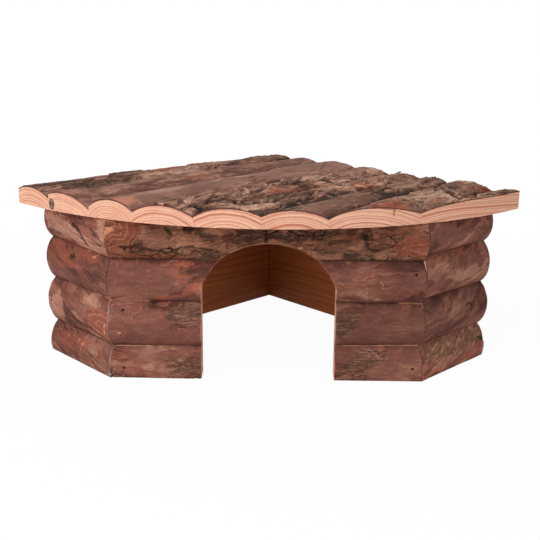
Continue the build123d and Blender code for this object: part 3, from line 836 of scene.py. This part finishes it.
def roofSlat(index):
    spec = roof["slats"][index]
    radius = roof["radius"]
    rear = roof["seamRear"]
    front = roof["seamFront"]

    def limits(u):
        low = rear[index] + (front[index] - rear[index]) * u / radius
        high = rear[index + 1] + (front[index + 1] - rear[index + 1]) * u / radius
        return low, high

    def profile(u):
        return [back + (fore - back) * u / radius for back, fore in zip(spec["rear"], spec["front"])]

    def onSlat(outline):
        placed = []
        for forward, across in outline:
            place = forward / 100 * radius
            low, high = limits(place)
            placed.append((place, low + (high - low) * (across / 100)))
        return placed

    longSide = math.sqrt(radius ** 2 - rear[index] ** 2)
    skin, a, b = newGrid(f"roofSlat{index + 1}", longSide * mm, roof["gridWide"] * mm)
    # lines across the slat run from the rear edge to the arc
    lowRear = max(rear[index], 0.0)
    highRear = min(rear[index + 1], radius)
    lowFront = max(front[index], 0.0)
    highFront = min(front[index + 1], radius)
    start = lowRear + b * (highRear - lowRear)
    lean = (lowFront + b * (highFront - lowFront) - start) / radius
    square = 1 + lean ** 2
    within = np.maximum((start * lean) ** 2 - square * (start ** 2 - radius ** 2), 0)
    reach = (np.sqrt(within) - start * lean) / square
    u = a * reach
    v = start + lean * u
    low, high = limits(u)
    left, crown, right = profile(u)
    share = 1 - np.abs(2 * u / radius - 1)
    height = crownHeight(v - low, high - low, left, crown + roof["swell"] * share, right)
    edge = np.minimum(v - np.maximum(low, 0), np.minimum(high, radius) - v)
    end = np.minimum(u, np.maximum(radius - np.hypot(u, v), 0))

    def pith(points):
        pu, pv = planBack(points)
        pLow, pHigh = limits(pu)
        centre, drop = circleThrough(pHigh - pLow, *profile(pu))
        up = points[:, 2] / mm - roof["underside"] - drop
        return np.stack([pu, pv - pLow - centre, up], axis=1) * mm

    patches = {}
    for number, kind, outline in barkPatches:
        if number == index + 1:
            patches.setdefault(kind, []).append(onSlat(outline))
    plates = [(rise, onSlat(outline)) for number, rise, outline in barkPlates if number == index + 1]
    wide = (v - (low + high) / 2) * roof["grainWide"] * mm
    finishSlab(skin, dict(
        coords=planPoint(u, v, roof["underside"] + height), foot=planPoint(u, v, roof["underside"] + 0 * u),
        outward=(0, 0, 1), edge=edge * mm, end=end * mm, door=0 * u + 1.0,
        relief=spec["relief"], look=roofBarks[spec["relief"]], flat=(u, v),
        grain=np.stack([u * mm, wide, 0 * u + roof["grainStep"] * (index + 1)], axis=1),
        plates=plates, patches=patches, pits=[], pith=pith, ringGap=spec["ringGap"] * mm,
        toneAndLightGain=spec["toneAndLightGain"], node=f"roof_slat_{index + 1}", slot="roof_bark",
    ))


for index in range(len(roof["slats"])):
    roofSlat(index)
print("roof slats laid")


# log walls: x along the wall seen from outside, depth inward from the plane of the crowns

logs = {
    "height": 133.0,
    "thick": 18.0,
    "edge": 10.0,
    "seams": [25.5, 64.5, 99.7],
    "footTrim": 12.0,
    "topTrim": 4.0,
    "mitreAngle": math.radians(22.5),
    "settleTurns": 6,
    "rowHigh": 38.0,
    "ringGap": 2.5,
    "gridWide": 44.0,
    "grainWide": 1.15,
    "grainStep": 0.53,
    "door": {"middle": 1.7, "half": 54.5, "spring": 77.5, "top": 115.5},
}
# the crowns of the side walls and of the front wall, from the back corner, and the side walls' rear ends
sideCrown = 286.0
sideFront = 276.0 * root2 - sideCrown
sideRear = 14.0
walls = {
    "front": dict(
        corner=(sideCrown, sideFront), along=(1, 0, 0), inward=(0, 1, 0),
        length=(sideCrown - sideFront) * root2,
        strays=[(0.0, 4.0), (0.0, 1.0), (0.0, 0.8)], mitres=(1, 1), lean=3.0,
        pits=[(12.5, 57.6), (12.2, 8.7), (247.8, 90.9), (248.8, 11.0)],
        thinning=[(0.6, 0.3, 0.8), (0.2, 0.5, 0.0), (0.9, 0.4, 0.6), (0.4, 0.0, 0.7)],
    ),
    "left": dict(
        corner=(sideCrown, sideRear), along=(1 / root2, -1 / root2, 0), inward=(1 / root2, 1 / root2, 0),
        length=sideFront - sideRear,
        strays=[(1.0, -0.5), (1.5, 0.5), (3.3, -0.2)], mitres=(0, 1), lean=-20.0,
        pits=[(4.3, 46.8), (46.9, 69.2)],
        thinning=[(0.5, 0.2, 0.6), (0.0, 0.4, 0.3), (0.8, 0.5, 0.4), (0.3, 0.6, 0.2)],
    ),
    "right": dict(
        corner=(sideFront, sideCrown), along=(1 / root2, 1 / root2, 0), inward=(-1 / root2, 1 / root2, 0),
        length=sideFront - sideRear,
        strays=[(4.5, 2.5), (4.0, 2.0), (5.3, 3.3)], mitres=(1, 0), lean=20.0,
        pits=[(85.9, 57.1), (19.6, 10.2), (6.0, 36.9)],
        thinning=[(0.7, 0.3, 0.5), (0.4, 0.0, 0.2), (0.5, 0.8, 0.6), (0.0, 0.3, 0.5)],
    ),
}


def box(left, right, low, high):
    return [(left, low), (right, low), (right, high), (left, high)]


# bark patches on the logs: outlines along the wall and up it
logPatches = {
    "front_log_1": {
        "layered": [
            [(27, 150), (28, 121), (22, 114), (24, 111), (11, 109), (10, 80), (-50, 80), (-50, 150)],
            [(226, 114), (236, 121), (262, 122), (310, 122), (310, 106), (250, 104), (232, 106)],
        ],
        "bare": [[(-6, 132), (7, 125), (-6, 116)],
                 [(152.4, 113.6), (157.2, 113.0), (157.2, 110.8), (153, 111.2)]],
        "pale": [[(29, 127), (57, 124), (74, 124), (75, 117), (60, 110), (38, 110), (28, 118)],
                 [(213, 104), (222, 110), (230, 108), (226, 101), (215, 100)],
                 [(196, 116), (206, 118), (204, 110), (194, 109)],
                 [(157, 112), (162.4, 111.8), (166, 107.5), (160.5, 107.5)]],
        "smooth": [[(30, 125), (45, 124), (50, 119), (58, 114), (44, 112), (33, 112)]],
        "seamBare": [box(68, 92, 96, 104)],
        "knotAndShadow": [
            [(47.6, 127.5), (51.8, 126.2), (53.8, 121.4), (51.7, 121.8)],
            [(62.5, 127.2), (71, 126.8), (68, 123.2)],
            [(127.3, 127), (129, 127), (128.7, 117.3), (127.3, 116.8)],
            [(12.4, 112), (24.9, 112), (34.3, 110), (44.6, 109.2), (49.7, 106.8), (55.7, 107.8),
             (60.1, 112), (70.4, 113.2), (70.4, 112), (60.6, 110.6), (56, 106), (49.5, 105),
             (44.4, 107.6), (34, 108.4), (24.9, 110.2), (12.4, 110.2)],
            [(204, 123.4), (206.4, 124.4), (208, 118.9), (209.2, 112.7), (207, 113)],
            [(164.2, 124.6), (166.4, 124), (166, 118.6), (164.4, 119)],
            [(208.6, 113.4), (213.4, 110.9), (221, 112.8), (227.8, 115), (227.8, 114), (221, 111.4),
             (213.4, 109.3), (208.6, 111.8)],
            [(211.2, 102.6), (218, 101.4), (221.6, 101.2), (227.4, 105.6), (230.9, 102), (230.6, 101),
             (227.2, 104.2), (221.6, 99.8), (218, 100.2), (211.2, 101.4)],
        ],
        "split": [[(12, 111), (45, 111), (59, 110), (91, 114), (91, 107), (57, 103), (22, 107), (12, 108)],
                  [(60, 133), (66, 120), (72, 133)], [(126, 133), (128, 116), (134, 133)],
                  [(160, 133), (170, 118), (176, 133)],
                  [(203, 124), (212, 120), (214, 104), (206, 108)]],
        "olive": [[(104, 128), (186, 124), (168, 118), (150, 118), (104, 119)],
                  [(190, 110), (212, 108), (212, 100), (188, 101)]],
        "rusty": [[(190, 121), (200, 124), (198, 117)],
                  [(12, 106), (40, 107), (62, 105), (60, 100), (12, 100)]],
    },
    "front_left_log_2": {
        "smooth": [[(-8, 98), (55, 98), (57, 90), (67, 86), (59, 74), (36, 67), (-8, 67)]],
        "rusty": [
            [(53, 95), (59, 99), (68, 99), (66, 94), (60, 95), (58, 92), (60, 89), (67, 90), (67, 86),
             (57, 86), (53, 91)],
            [(80, 88), (77, 80), (68, 73), (62, 68), (39, 66), (39, 70), (59, 72), (65, 79), (72, 85)],
        ],
        "seamBare": [box(-2, 38, 60, 68)],
    },
    "front_left_log_3": {
        "smooth": [[(2, 62), (30, 60), (48, 58), (50, 42), (76, 48), (76, 30), (40, 27), (2, 28)]],
        "knotAndShadow": [[(32, 66), (39, 66), (41, 61), (37, 60)]],
        "olive": [[(48, 62), (78, 66), (78, 53), (63, 46), (53, 44), (49, 54)]],
        "bare": [[(8.7, 39.6), (10.2, 39.8), (9.8, 39.0)]],
        "seamBare": [box(-2, 34, 60, 68)],
    },
    "front_left_log_4": {
        "smooth": [[(6, 24), (44, 24), (60, 20), (40, 10), (20, 14)]],
        "olive": [[(47, 16), (62, 19), (80, 16), (80, -4), (58, 2), (47, 6)],
                  [(1, 7), (12, 6), (10, -4), (1, -4)]],
        "seamBare": [box(0, 34, 22, 29)],
    },
    "front_right_log_2": {
        "smooth": [[(177, 97), (204, 98), (202, 90), (185, 84), (180, 92)],
                   [(219, 90), (257, 90), (257, 78), (232, 77), (221, 82)]],
        "seamBare": [box(236, 262, 60, 70)],
        "rusty": [
            [(198, 88), (206, 93), (214, 92), (219, 97), (223, 100), (223, 97), (216, 90), (206, 89),
             (201, 86)],
            [(183, 83), (202, 83), (213, 77), (229, 78), (250, 78), (250, 75), (229, 75), (212, 74),
             (201, 80), (183, 80)],
        ],
    },
    "front_right_log_3": {
        "smooth": [[(210, 63), (255, 64), (259, 50), (257, 28), (186, 28), (194, 38), (203, 48)]],
        "olive": [[(180, 60), (206, 57), (201, 47), (193, 39), (180, 37)]],
        "seamBare": [box(222, 262, 20, 32), box(236, 262, 60, 70)],
    },
    "front_right_log_4": {
        "smooth": [
            [(180, 25), (202, 25), (198, 15), (180, 13)],
            [(231, 25), (256, 26), (255, 18), (235, 14), (228, 18)],
            [(213, 10), (235, 14), (243, 7), (238, -2), (210, -2)],
        ],
        "olive": [[(202, 25), (228, 25), (224, 18), (212, 12), (208, 3), (196, 1), (191, 8)]],
        "seamBare": [box(176, 262, 20, 32)],
    },
    "left_log_1": {
        "pale": [[(-4, 124), (25, 126), (60, 112), (80, 104), (70, 98), (40, 106), (5, 113)],
                 [(78, 133), (92, 133), (92, 112), (84, 116)]],
        "knotAndShadow": [[(53, 117), (56, 116), (61, 110), (62, 105), (58, 105), (56, 110)],
                 [(72, 124), (74, 123), (78, 117), (83, 115), (76, 116)]],
        "split": [[(44, 122), (54, 120), (66, 104), (56, 100)],
                  [(68, 126), (78, 124), (88, 110), (76, 108)]],
    },
    "left_log_2": {
        "rusty": [[(3, 101), (32, 106), (47, 101), (70, 103), (75, 96), (61, 87), (41, 84), (10, 82),
                   (-2, 86)]],
        "knotAndShadow": [[(36, 93.5), (41, 95), (43.5, 92.5), (40, 90.5), (36, 91)]],
        "bare": [[(54, 101), (60, 102), (58, 99)], [(63, 98), (71, 99.5), (70, 97), (64, 96)],
                 [(70, 62), (94, 62), (94, 67.4), (70, 64.4)]],
        "seamBare": [box(60, 96, 55, 72)],
        "smooth": [[(6, 80), (30, 82), (40, 74), (20, 70), (6, 74)]],
    },
    "left_log_3": {
        "pale": [[(2, 52), (17, 57), (23, 49), (24, 39), (16, 31), (3, 29), (-3, 39)],
                 [(46, 63), (60, 64), (76, 58), (70, 52), (54, 55)]],
        "layered": [[(54, 50), (66, 55), (120, 55), (120, 24), (65, 33), (59, 43)]],
        "bare": [[(83, 45), (87, 46), (86, 36), (83, 37)]],
        "seamBare": [box(64, 96, 58, 72)],
        "split": [[(28, 44), (40, 42), (64, 36), (80, 29), (56, 27), (34, 34)]],
        "knotAndShadow": [[(42, 38.5), (52, 37.5), (62, 37), (72, 33.5), (86, 28.5), (86, 26.5), (70, 31),
                  (60, 34), (50, 35), (42, 36)]],
    },
    "left_log_4": {
        "rusty": [[(9, 17), (17, 22), (42, 23), (59, 21), (50, 12), (46, 8), (26, 7), (12, 12)]],
        "bare": [[(24, 19.5), (27, 20.5), (26, 18.5)], [(31, 21), (35, 21.5), (33, 19)],
                 [(40, 20), (43, 19), (41, 17.5)], [(46, 18), (50, 18.5), (48, 15)],
                 [(46, 14), (49, 13), (48, 11)]],
    },
    "right_log_1": {
        "smooth": [[(7, 131), (34, 129), (42, 118), (27, 110), (9, 116)]],
        "split": [[(35, 127), (48, 125), (48, 118), (38, 120)]],
    },
    "right_log_2": {
        "rusty": [[(9, 106), (33, 106), (60, 103), (64, 98), (44, 97), (22, 97), (9, 98)]],
        "olive": [[(24, 104), (40, 105), (45, 100), (30, 98)]],
        "pale": [[(27, 84), (45, 88), (61, 90), (86, 82), (47, 77)]],
    },
    "right_log_3": {
        "rusty": [
            [(36, 62), (42, 63), (47, 64), (52, 60), (56, 55), (53, 54), (47, 61), (38, 58)],
            [(72, 57), (76, 52), (78, 46), (71, 38), (68, 40), (73, 46), (71, 52)],
        ],
        "smooth": [[(6, 62), (30, 60), (24, 52), (8, 54)]],
    },
    "right_log_4": {
        "olive": [[(2, 30), (39, 28), (88, 29), (89, 14), (46, 11), (2, 17)]],
        "knotAndShadow": [[(84, 18), (90, 19), (93, 14), (88, 13)], [(38, 34), (43, 33), (42, 30), (38, 31)]],
    },
}


# how bright the bark of a log is beside the palette: partly the log's own tone, partly painted light and
# shade
logToneAndLightGains = {
    "front_log_1": 0.95, "front_left_log_2": 1.13, "front_left_log_3": 1.09, "front_left_log_4": 1.05,
    "front_right_log_2": 0.84, "front_right_log_3": 0.79,
    "left_log_1": 1.06, "left_log_2": 0.88, "left_log_3": 1.09, "left_log_4": 0.95,
    "right_log_1": 1.07, "right_log_2": 1.02, "right_log_3": 0.75, "right_log_4": 1.34,
}


def archRadius():
    door = logs["door"]
    rise = door["top"] - door["spring"]
    return (door["half"] ** 2 + rise ** 2) / (2 * rise)


def archHalf(z):
    door = logs["door"]
    radius = archRadius()
    above = np.clip(z - (door["top"] - radius), 0, radius)
    return np.where(z > door["spring"], np.sqrt(radius ** 2 - above ** 2), door["half"])


def archHeight(side):
    door = logs["door"]
    radius = archRadius()
    inside = np.maximum(radius ** 2 - side ** 2, 0)
    return np.where(np.abs(side) < door["half"], door["top"] - radius + np.sqrt(inside), 0)


def halfLog(wallName, row, part, node, relief, look, seed):
    wall = walls[wallName]
    length = wall["length"]
    thick = logs["thick"]
    mitre = math.tan(logs["mitreAngle"])
    level = 3 - row  # strays and thinning run from the bottom
    doorMiddle = length / 2 + logs["door"]["middle"]

    def seam(number, x):
        if number < 0:
            return 0 * x - logs["footTrim"]
        if number > 2:
            return 0 * x + logs["height"] + logs["topTrim"]
        start, end = wall["strays"][number]
        return logs["seams"][number] + start + (end - start) * (x + thick) / (length + 2 * thick)

    def surface(x, z):
        low = seam(level - 1, x)
        high = seam(level, x)
        stations = [-thick, length / 2, length + thick]
        thin = np.interp(x, stations, wall["thinning"][level])
        return thick - crownHeight(z - low, high - low, logs["edge"], thick - thin, logs["edge"])

    longSide = length if part is None else length / 2 - logs["door"]["half"]
    skin, a, b = newGrid(f"{wallName}Log{row + 1}{part or ''}", longSide * mm, logs["gridWide"] * mm)
    x = a * length
    # the ends lean with the crown, so x and z are settled in turn
    for turn in range(logs["settleTurns"]):
        low = np.maximum(seam(level - 1, x), 0)
        high = np.minimum(seam(level, x), logs["height"])
        if wallName == "front" and part is None:
            low = np.maximum(low, archHeight(x - doorMiddle))
        z = low + b * (high - low)
        depth = surface(x, z)
        left = depth * mitre * wall["mitres"][0]
        right = length - depth * mitre * wall["mitres"][1]
        if part == "Left":
            right = doorMiddle - archHalf(z)
        if part == "Right":
            left = doorMiddle + archHalf(z)
        x = left + a * (right - left)
    depth = surface(x, z)
    footLeft = 0 * x + thick * mitre * wall["mitres"][0]
    footRight = 0 * x + length - thick * mitre * wall["mitres"][1]
    if part == "Left":
        footRight = right
    if part == "Right":
        footLeft = left
    footX = footLeft + a * (footRight - footLeft)

    along = np.array(wall["along"])
    inward = np.array(wall["inward"])
    origin = planSpot(*wall["corner"])

    def world(px, pDepth, pz):
        flat = origin + np.outer(px * mm, along) + np.outer(pDepth * mm, inward)
        flat[:, 2] += pz * mm
        return flat

    fullLow = seam(level - 1, x)
    fullHigh = seam(level, x)
    edge = np.minimum(z - fullLow, fullHigh - z)
    end = np.minimum(x - left, right - x)
    door = 0 * x + length
    if part == "Left":
        door = right - x
    if part == "Right":
        door = x - left
    if part is None and wallName == "front":
        side = x - doorMiddle
        door = np.where(np.abs(side) < logs["door"]["half"], z - archHeight(side), length)
        end = np.minimum(end, door)
    drop = circleThrough(logs["rowHigh"], logs["edge"], thick, logs["edge"])[1]

    def pith(points):
        gap = points - origin
        px = gap @ along / mm
        pLow = seam(level - 1, px)
        pHigh = seam(level, px)
        up = points[:, 2] / mm - (pLow + pHigh) / 2
        return np.stack([px, up, thick - gap @ inward / mm - drop], axis=1) * mm

    lean = math.radians(wall["lean"])
    rise = z - (fullLow + fullHigh) / 2
    far = x * math.cos(lean) + rise * math.sin(lean)
    wide = (rise * math.cos(lean) - x * math.sin(lean)) * logs["grainWide"]
    finishSlab(skin, dict(
        coords=world(x, depth, z), foot=world(footX, 0 * x + thick, z), outward=-inward,
        edge=edge * mm, end=np.maximum(end, 0) * mm, door=door * mm, relief=relief, look=look, flat=(x, z),
        grain=np.stack([far * mm, wide * mm, 0 * x + logs["grainStep"] * seed], axis=1),
        plates=[], patches=logPatches.get(node, {}), pits=wall["pits"], pith=pith,
        ringGap=logs["ringGap"] * mm, toneAndLightGain=logToneAndLightGains.get(node, 1.0), node=node, slot="wall_bark",
    ))


halfLog("front", 0, None, "front_log_1", "block", lintelBark, 3)
for row in (1, 2, 3):
    halfLog("front", row, "Left", f"front_left_log_{row + 1}", "scale", wallBark, 4 + row)
    halfLog("front", row, "Right", f"front_right_log_{row + 1}", "scale", wallBark, 9 + row)
for row in range(4):
    halfLog("left", row, None, f"left_log_{row + 1}", "scale", wallBark, 14 + row)
    halfLog("right", row, None, f"right_log_{row + 1}", "scale", wallBark, 19 + row)
print("log walls laid")


# small loose pieces: dried glue down a corner, curled flakes of bark, and a bark pocket in a sawn end

def crumbLook(name, spec):
    look, start = newLook(name)
    place = start.put("ShaderNodeTexCoord", out="Object")
    cloud = place.stretch(260, 260, 260).noise(3.0)
    speck = place.stretch(1500, 1500, 1500).noise(3.0, 0.7)
    color = start.blend(cloud.band(0.35, 0.65), spec["dark"], spec["pale"])
    color = color.shade(speck * spec["speck"] + 1 - spec["speck"] / 2)
    closeLook(start, color, speck * 0.2 + spec["rough"], cloud + speck, spec["bump"], 0.3)
    return look


glueLook = crumbLook("driedGlue", dict(
    dark=tint(116, 98, 94), pale=tint(166, 152, 148), speck=0.5, rough=0.35, bump=0.0001,
))
flakeLook = crumbLook("curledBark", dict(
    dark=tint(96, 70, 58), pale=tint(176, 144, 124), speck=0.9, rough=0.75, bump=0.0004,
))
pocketLook = crumbLook("barkPocket", dict(
    dark=tint(84, 62, 54), pale=tint(140, 112, 98), speck=1.2, rough=0.8, bump=0.0006,
))
resinLook = crumbLook("redResin", dict(
    dark=tint(132, 58, 40), pale=tint(178, 92, 62), speck=0.4, rough=0.4, bump=0.0002,
))


def finishCrumb(piece, coords, look):
    mesh = piece.data
    setCoords(mesh, coords * mm)
    mesh.materials.append(look)
    faceOut()
    bpy.ops.object.shade_smooth_by_angle(angle=math.radians(40))
    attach(piece, "root")


def newBall(name, segments, rings):
    bpy.ops.object.select_all(action="DESELECT")
    bpy.ops.mesh.primitive_uv_sphere_add(segments=segments, ring_count=rings, radius=1.0)
    return made(name)


# the bead lies on the third and fourth log of the left front corner, and ends in a drop near the floor
glue = {
    "top": 63.5, "foot": 1.6, "thick": 0.42, "proud": 0.1, "upperThin": 0.2, "lowerThin": 0.6,
    "scant": 0.6, "scantAt": 35.0, "scantSpan": 8.0, "drop": 1.5, "dropAt": 3.2, "dropSpan": 1.7,
}


def glueBead():
    bead, ball = newBall("glueBead", 12, 90)
    share = np.arccos(np.clip(ball[:, 2], -1, 1)) / math.pi
    z = glue["top"] + (glue["foot"] - glue["top"]) * share
    seam, seamAbove = logs["seams"][:2]
    trim, edge, thick = logs["footTrim"], logs["edge"], logs["thick"]
    upper = crownHeight(z - seam, seamAbove - seam, edge, thick - glue["upperThin"], edge)
    lower = crownHeight(z + trim, seam + trim, edge, thick - glue["lowerThin"], edge)
    depth = thick - np.where(z > seam, upper, lower)
    around = np.arctan2(ball[:, 1], ball[:, 0])
    wobble = 0.25 * np.sin(z * 0.9) + 0.2 * np.sin(z * 0.37 + 1.0)
    scant = 1 - glue["scant"] * np.exp(-((z - glue["scantAt"]) / glue["scantSpan"]) ** 2)
    drop = (glue["drop"] - glue["thick"]) * np.exp(-((z - glue["dropAt"]) / glue["dropSpan"]) ** 2)
    radius = glue["thick"] * (1 + wobble) * scant + drop
    radius = radius * np.sqrt(np.clip(np.sin(share * math.pi) * 9, 0, 1))
    corner = planSpot(sideCrown, sideFront) / mm
    x = corner[0] + depth * math.tan(logs["mitreAngle"]) - glue["proud"] * math.sin(logs["mitreAngle"])
    y = corner[1] + depth - glue["proud"] * math.cos(logs["mitreAngle"])
    x = x + radius * np.cos(around)
    y = y + radius * np.sin(around)
    finishCrumb(bead, np.stack([x, y, np.maximum(z, 0.1)], axis=1), glueLook)


# flakes: where they are rooted on the roof, heading, length, width, and how far they curl and tilt up
flakes = [
    dict(root=(112.0, 273.0, 142.6), heading=-62, long=9.0, wide=4.5, curl=75, tilt=28),
    dict(root=(3.0, 166.0, 145.6), heading=-25, long=9.0, wide=9.0, curl=16, tilt=15),
    dict(root=(64.0, 214.0, 147.6), heading=38, long=12.0, wide=9.0, curl=12, tilt=6),
    dict(root=(88.0, 183.0, 148.6), heading=-150, long=10.0, wide=8.0, curl=12, tilt=6),
    dict(root=(34.0, 258.0, 148.4), heading=15, long=11.0, wide=10.0, curl=8, tilt=4),
    dict(root=(196.0, 146.0, 148.2), heading=-160, long=11.0, wide=8.0, curl=12, tilt=6),
]
flakeThick = 1.1
flakeSink = 0.5


def barkFlake(number, flake):
    bpy.ops.object.select_all(action="DESELECT")
    bpy.ops.mesh.primitive_grid_add(x_subdivisions=14, y_subdivisions=8, size=1.0)
    piece, sheet = made(f"barkFlake{number}")
    along = sheet[:, 0] + 0.5
    side = sheet[:, 1] * flake["wide"] * (1 - 0.45 * along ** 2) * (1 + 0.16 * np.sin(along * 11 + number))
    bend = math.radians(flake["curl"])
    lift = math.radians(flake["tilt"])
    reach = flake["long"] / bend * (np.sin(lift + bend * along) - math.sin(lift))
    rise = flake["long"] / bend * (math.cos(lift) - np.cos(lift + bend * along)) - flakeSink
    rise = rise - 0.05 * side ** 2 + 0.25 * np.sin(side * 1.7 + number) * along
    heading = math.radians(flake["heading"])
    x = reach * math.cos(heading) - side * math.sin(heading)
    y = reach * math.sin(heading) + side * math.cos(heading)
    setCoords(piece.data, planSpot(*flake["root"]) / mm + np.stack([x, y, rise], axis=1))
    shell = piece.modifiers.new("thick", "SOLIDIFY")
    shell.thickness = flakeThick
    bpy.context.view_layer.objects.active = piece
    bpy.ops.object.modifier_apply(modifier=shell.name)
    finishCrumb(piece, getCoords(piece.data), flakeLook)


pockets = [
    dict(name="barkPocket", across=46.6, height=138.3, size=(3.2, 0.9, 4.6), look=pocketLook),
    dict(name="resinStreak", across=269.6, height=143.6, size=(0.55, 0.35, 3.4), look=resinLook),
]


def endPocket(pocket):
    piece, ball = newBall(pocket["name"], 24, 16)
    x, y, z = ball.T
    ripple = 1 + 0.10 * np.sin(x * 5 + 1) * np.cos(z * 4) + 0.06 * np.sin(z * 9)
    forward = math.sqrt(roof["radius"] ** 2 - pocket["across"] ** 2)
    place = planSpot(forward, pocket["across"], pocket["height"]) / mm
    out = np.array([place[0], place[1] - roof["radius"] / 2, 0.0])
    out = out / np.linalg.norm(out)
    side = np.array([-out[1], out[0], 0.0])
    wide, deep, tall = pocket["size"]
    coords = place + np.outer(x * wide * ripple, side) + np.outer(y * deep, out)
    coords[:, 2] += z * tall * ripple
    finishCrumb(piece, coords, pocket["look"])


glueBead()
for number, flake in enumerate(flakes, 1):
    barkFlake(number, flake)
for pocket in pockets:
    endPocket(pocket)
print("loose pieces laid")


# pieces that keep their solids

def dress(node, look):
    mesh = frame["nodes"][node].data
    mesh.materials.clear()
    mesh.materials.append(look)


dress("back_left_board", leftPine)
dress("back_right_board", rightPine)
dress("left_corner_post", postPine)
dress("right_corner_post", postPine)
for place in ("front", "left", "right", "corner", "roof_back", "roof_front"):
    dress(f"{place}_brads", bradWire)


# floor, light and camera

white = (1.0, 1.0, 1.0, 1.0)
# the floor glows white where it is seen, a little less near the part, and fades between two distances
floorLook = {"size": 8.0, "tone": (0.94, 0.94, 0.94, 1.0), "fade": (0.25, 0.7), "near": 0.96, "far": 0.04}
roomLight = 0.5


def plainRays(path):
    seen = path.tap("Is Camera Ray") + path.tap("Is Glossy Ray") + path.tap("Is Transmission Ray")
    return seen.band(0.0, 1.0)


def paleFloor():
    bpy.ops.object.select_all(action="DESELECT")
    bpy.ops.mesh.primitive_plane_add(size=floorLook["size"])
    floor = bpy.context.object
    floor.name = "floor"
    look, start = newLook("paleFloor")
    seen = plainRays(start.put("ShaderNodeLightPath"))
    matte = start.put("ShaderNodeBsdfDiffuse", {"Color": floorLook["tone"]})
    place = start.put("ShaderNodeTexCoord", out="Object")
    reach = start.put("ShaderNodeVectorMath", {0: place}, out=1, operation="LENGTH")
    share = reach.band(*floorLook["fade"]) * floorLook["far"] + floorLook["near"]
    glow = start.put("ShaderNodeEmission", {"Color": white, "Strength": 1.0})
    surface = start.put("ShaderNodeMixShader", {0: seen * share, 1: matte, 2: glow})
    start.put("ShaderNodeOutputMaterial", {"Surface": surface})
    floor.data.materials.append(look)


def softRoom():
    world = bpy.data.worlds.new("softRoom")
    bpy.context.scene.world = world
    world.use_nodes = True
    world.node_tree.nodes.clear()
    start = Wire(world.node_tree)
    seen = plainRays(start.put("ShaderNodeLightPath"))
    dim = start.put("ShaderNodeBackground", {"Color": white, "Strength": roomLight})
    bright = start.put("ShaderNodeBackground", {"Color": white, "Strength": 1.0})
    sky = start.put("ShaderNodeMixShader", {0: seen, 1: dim, 2: bright})
    start.put("ShaderNodeOutputWorld", {"Surface": sky})


def softLamp(name, place, aim, size, power):
    bpy.ops.object.light_add(type="AREA", location=place)
    lamp = bpy.context.object
    lamp.name = name
    lamp.data.size = size
    lamp.data.energy = power
    lamp.rotation_euler = (Vector(aim) - Vector(place)).to_track_quat("-Z", "Y").to_euler()


shot = {
    "focal": 877.2, "frame": 540, "centreY": 266.7, "sensor": 36.0, "place": (1.49, -794.0, 286.4),
    "pitch": 0.2763, "turn": 0.0095, "roll": 0.0104,
}


def photoCamera():
    data = bpy.data.cameras.new("photoCamera")
    data.sensor_width = shot["sensor"]
    data.lens = shot["focal"] / shot["frame"] * shot["sensor"]
    data.shift_y = (shot["centreY"] - shot["frame"] / 2) / shot["frame"]
    camera = bpy.data.objects.new("photoCamera", data)
    bpy.context.scene.collection.objects.link(camera)
    turn = Matrix.Rotation(shot["turn"], 4, "Z")
    tilt = Matrix.Rotation(math.pi / 2 - shot["pitch"], 4, "X")
    roll = Matrix.Rotation(shot["roll"], 4, "Z")
    place = Matrix.Translation(Vector(shot["place"]) * mm)
    camera.matrix_world = turn @ place @ tilt @ roll
    bpy.context.scene.camera = camera


paleFloor()
softRoom()
softLamp("keyLamp", (-1.2, -1.0, 1.3), (0, 0, 0.08), 0.9, 19.5)
softLamp("fillLamp", (1.0, -1.2, 0.7), (0, 0, 0.08), 1.0, 4)
softLamp("doorLamp", (-0.35, -0.8, 0.2), (0.05, 0, 0.06), 0.25, 0.6)
photoCamera()
bpy.context.scene.view_settings.view_transform = "Standard"
print("stage set")
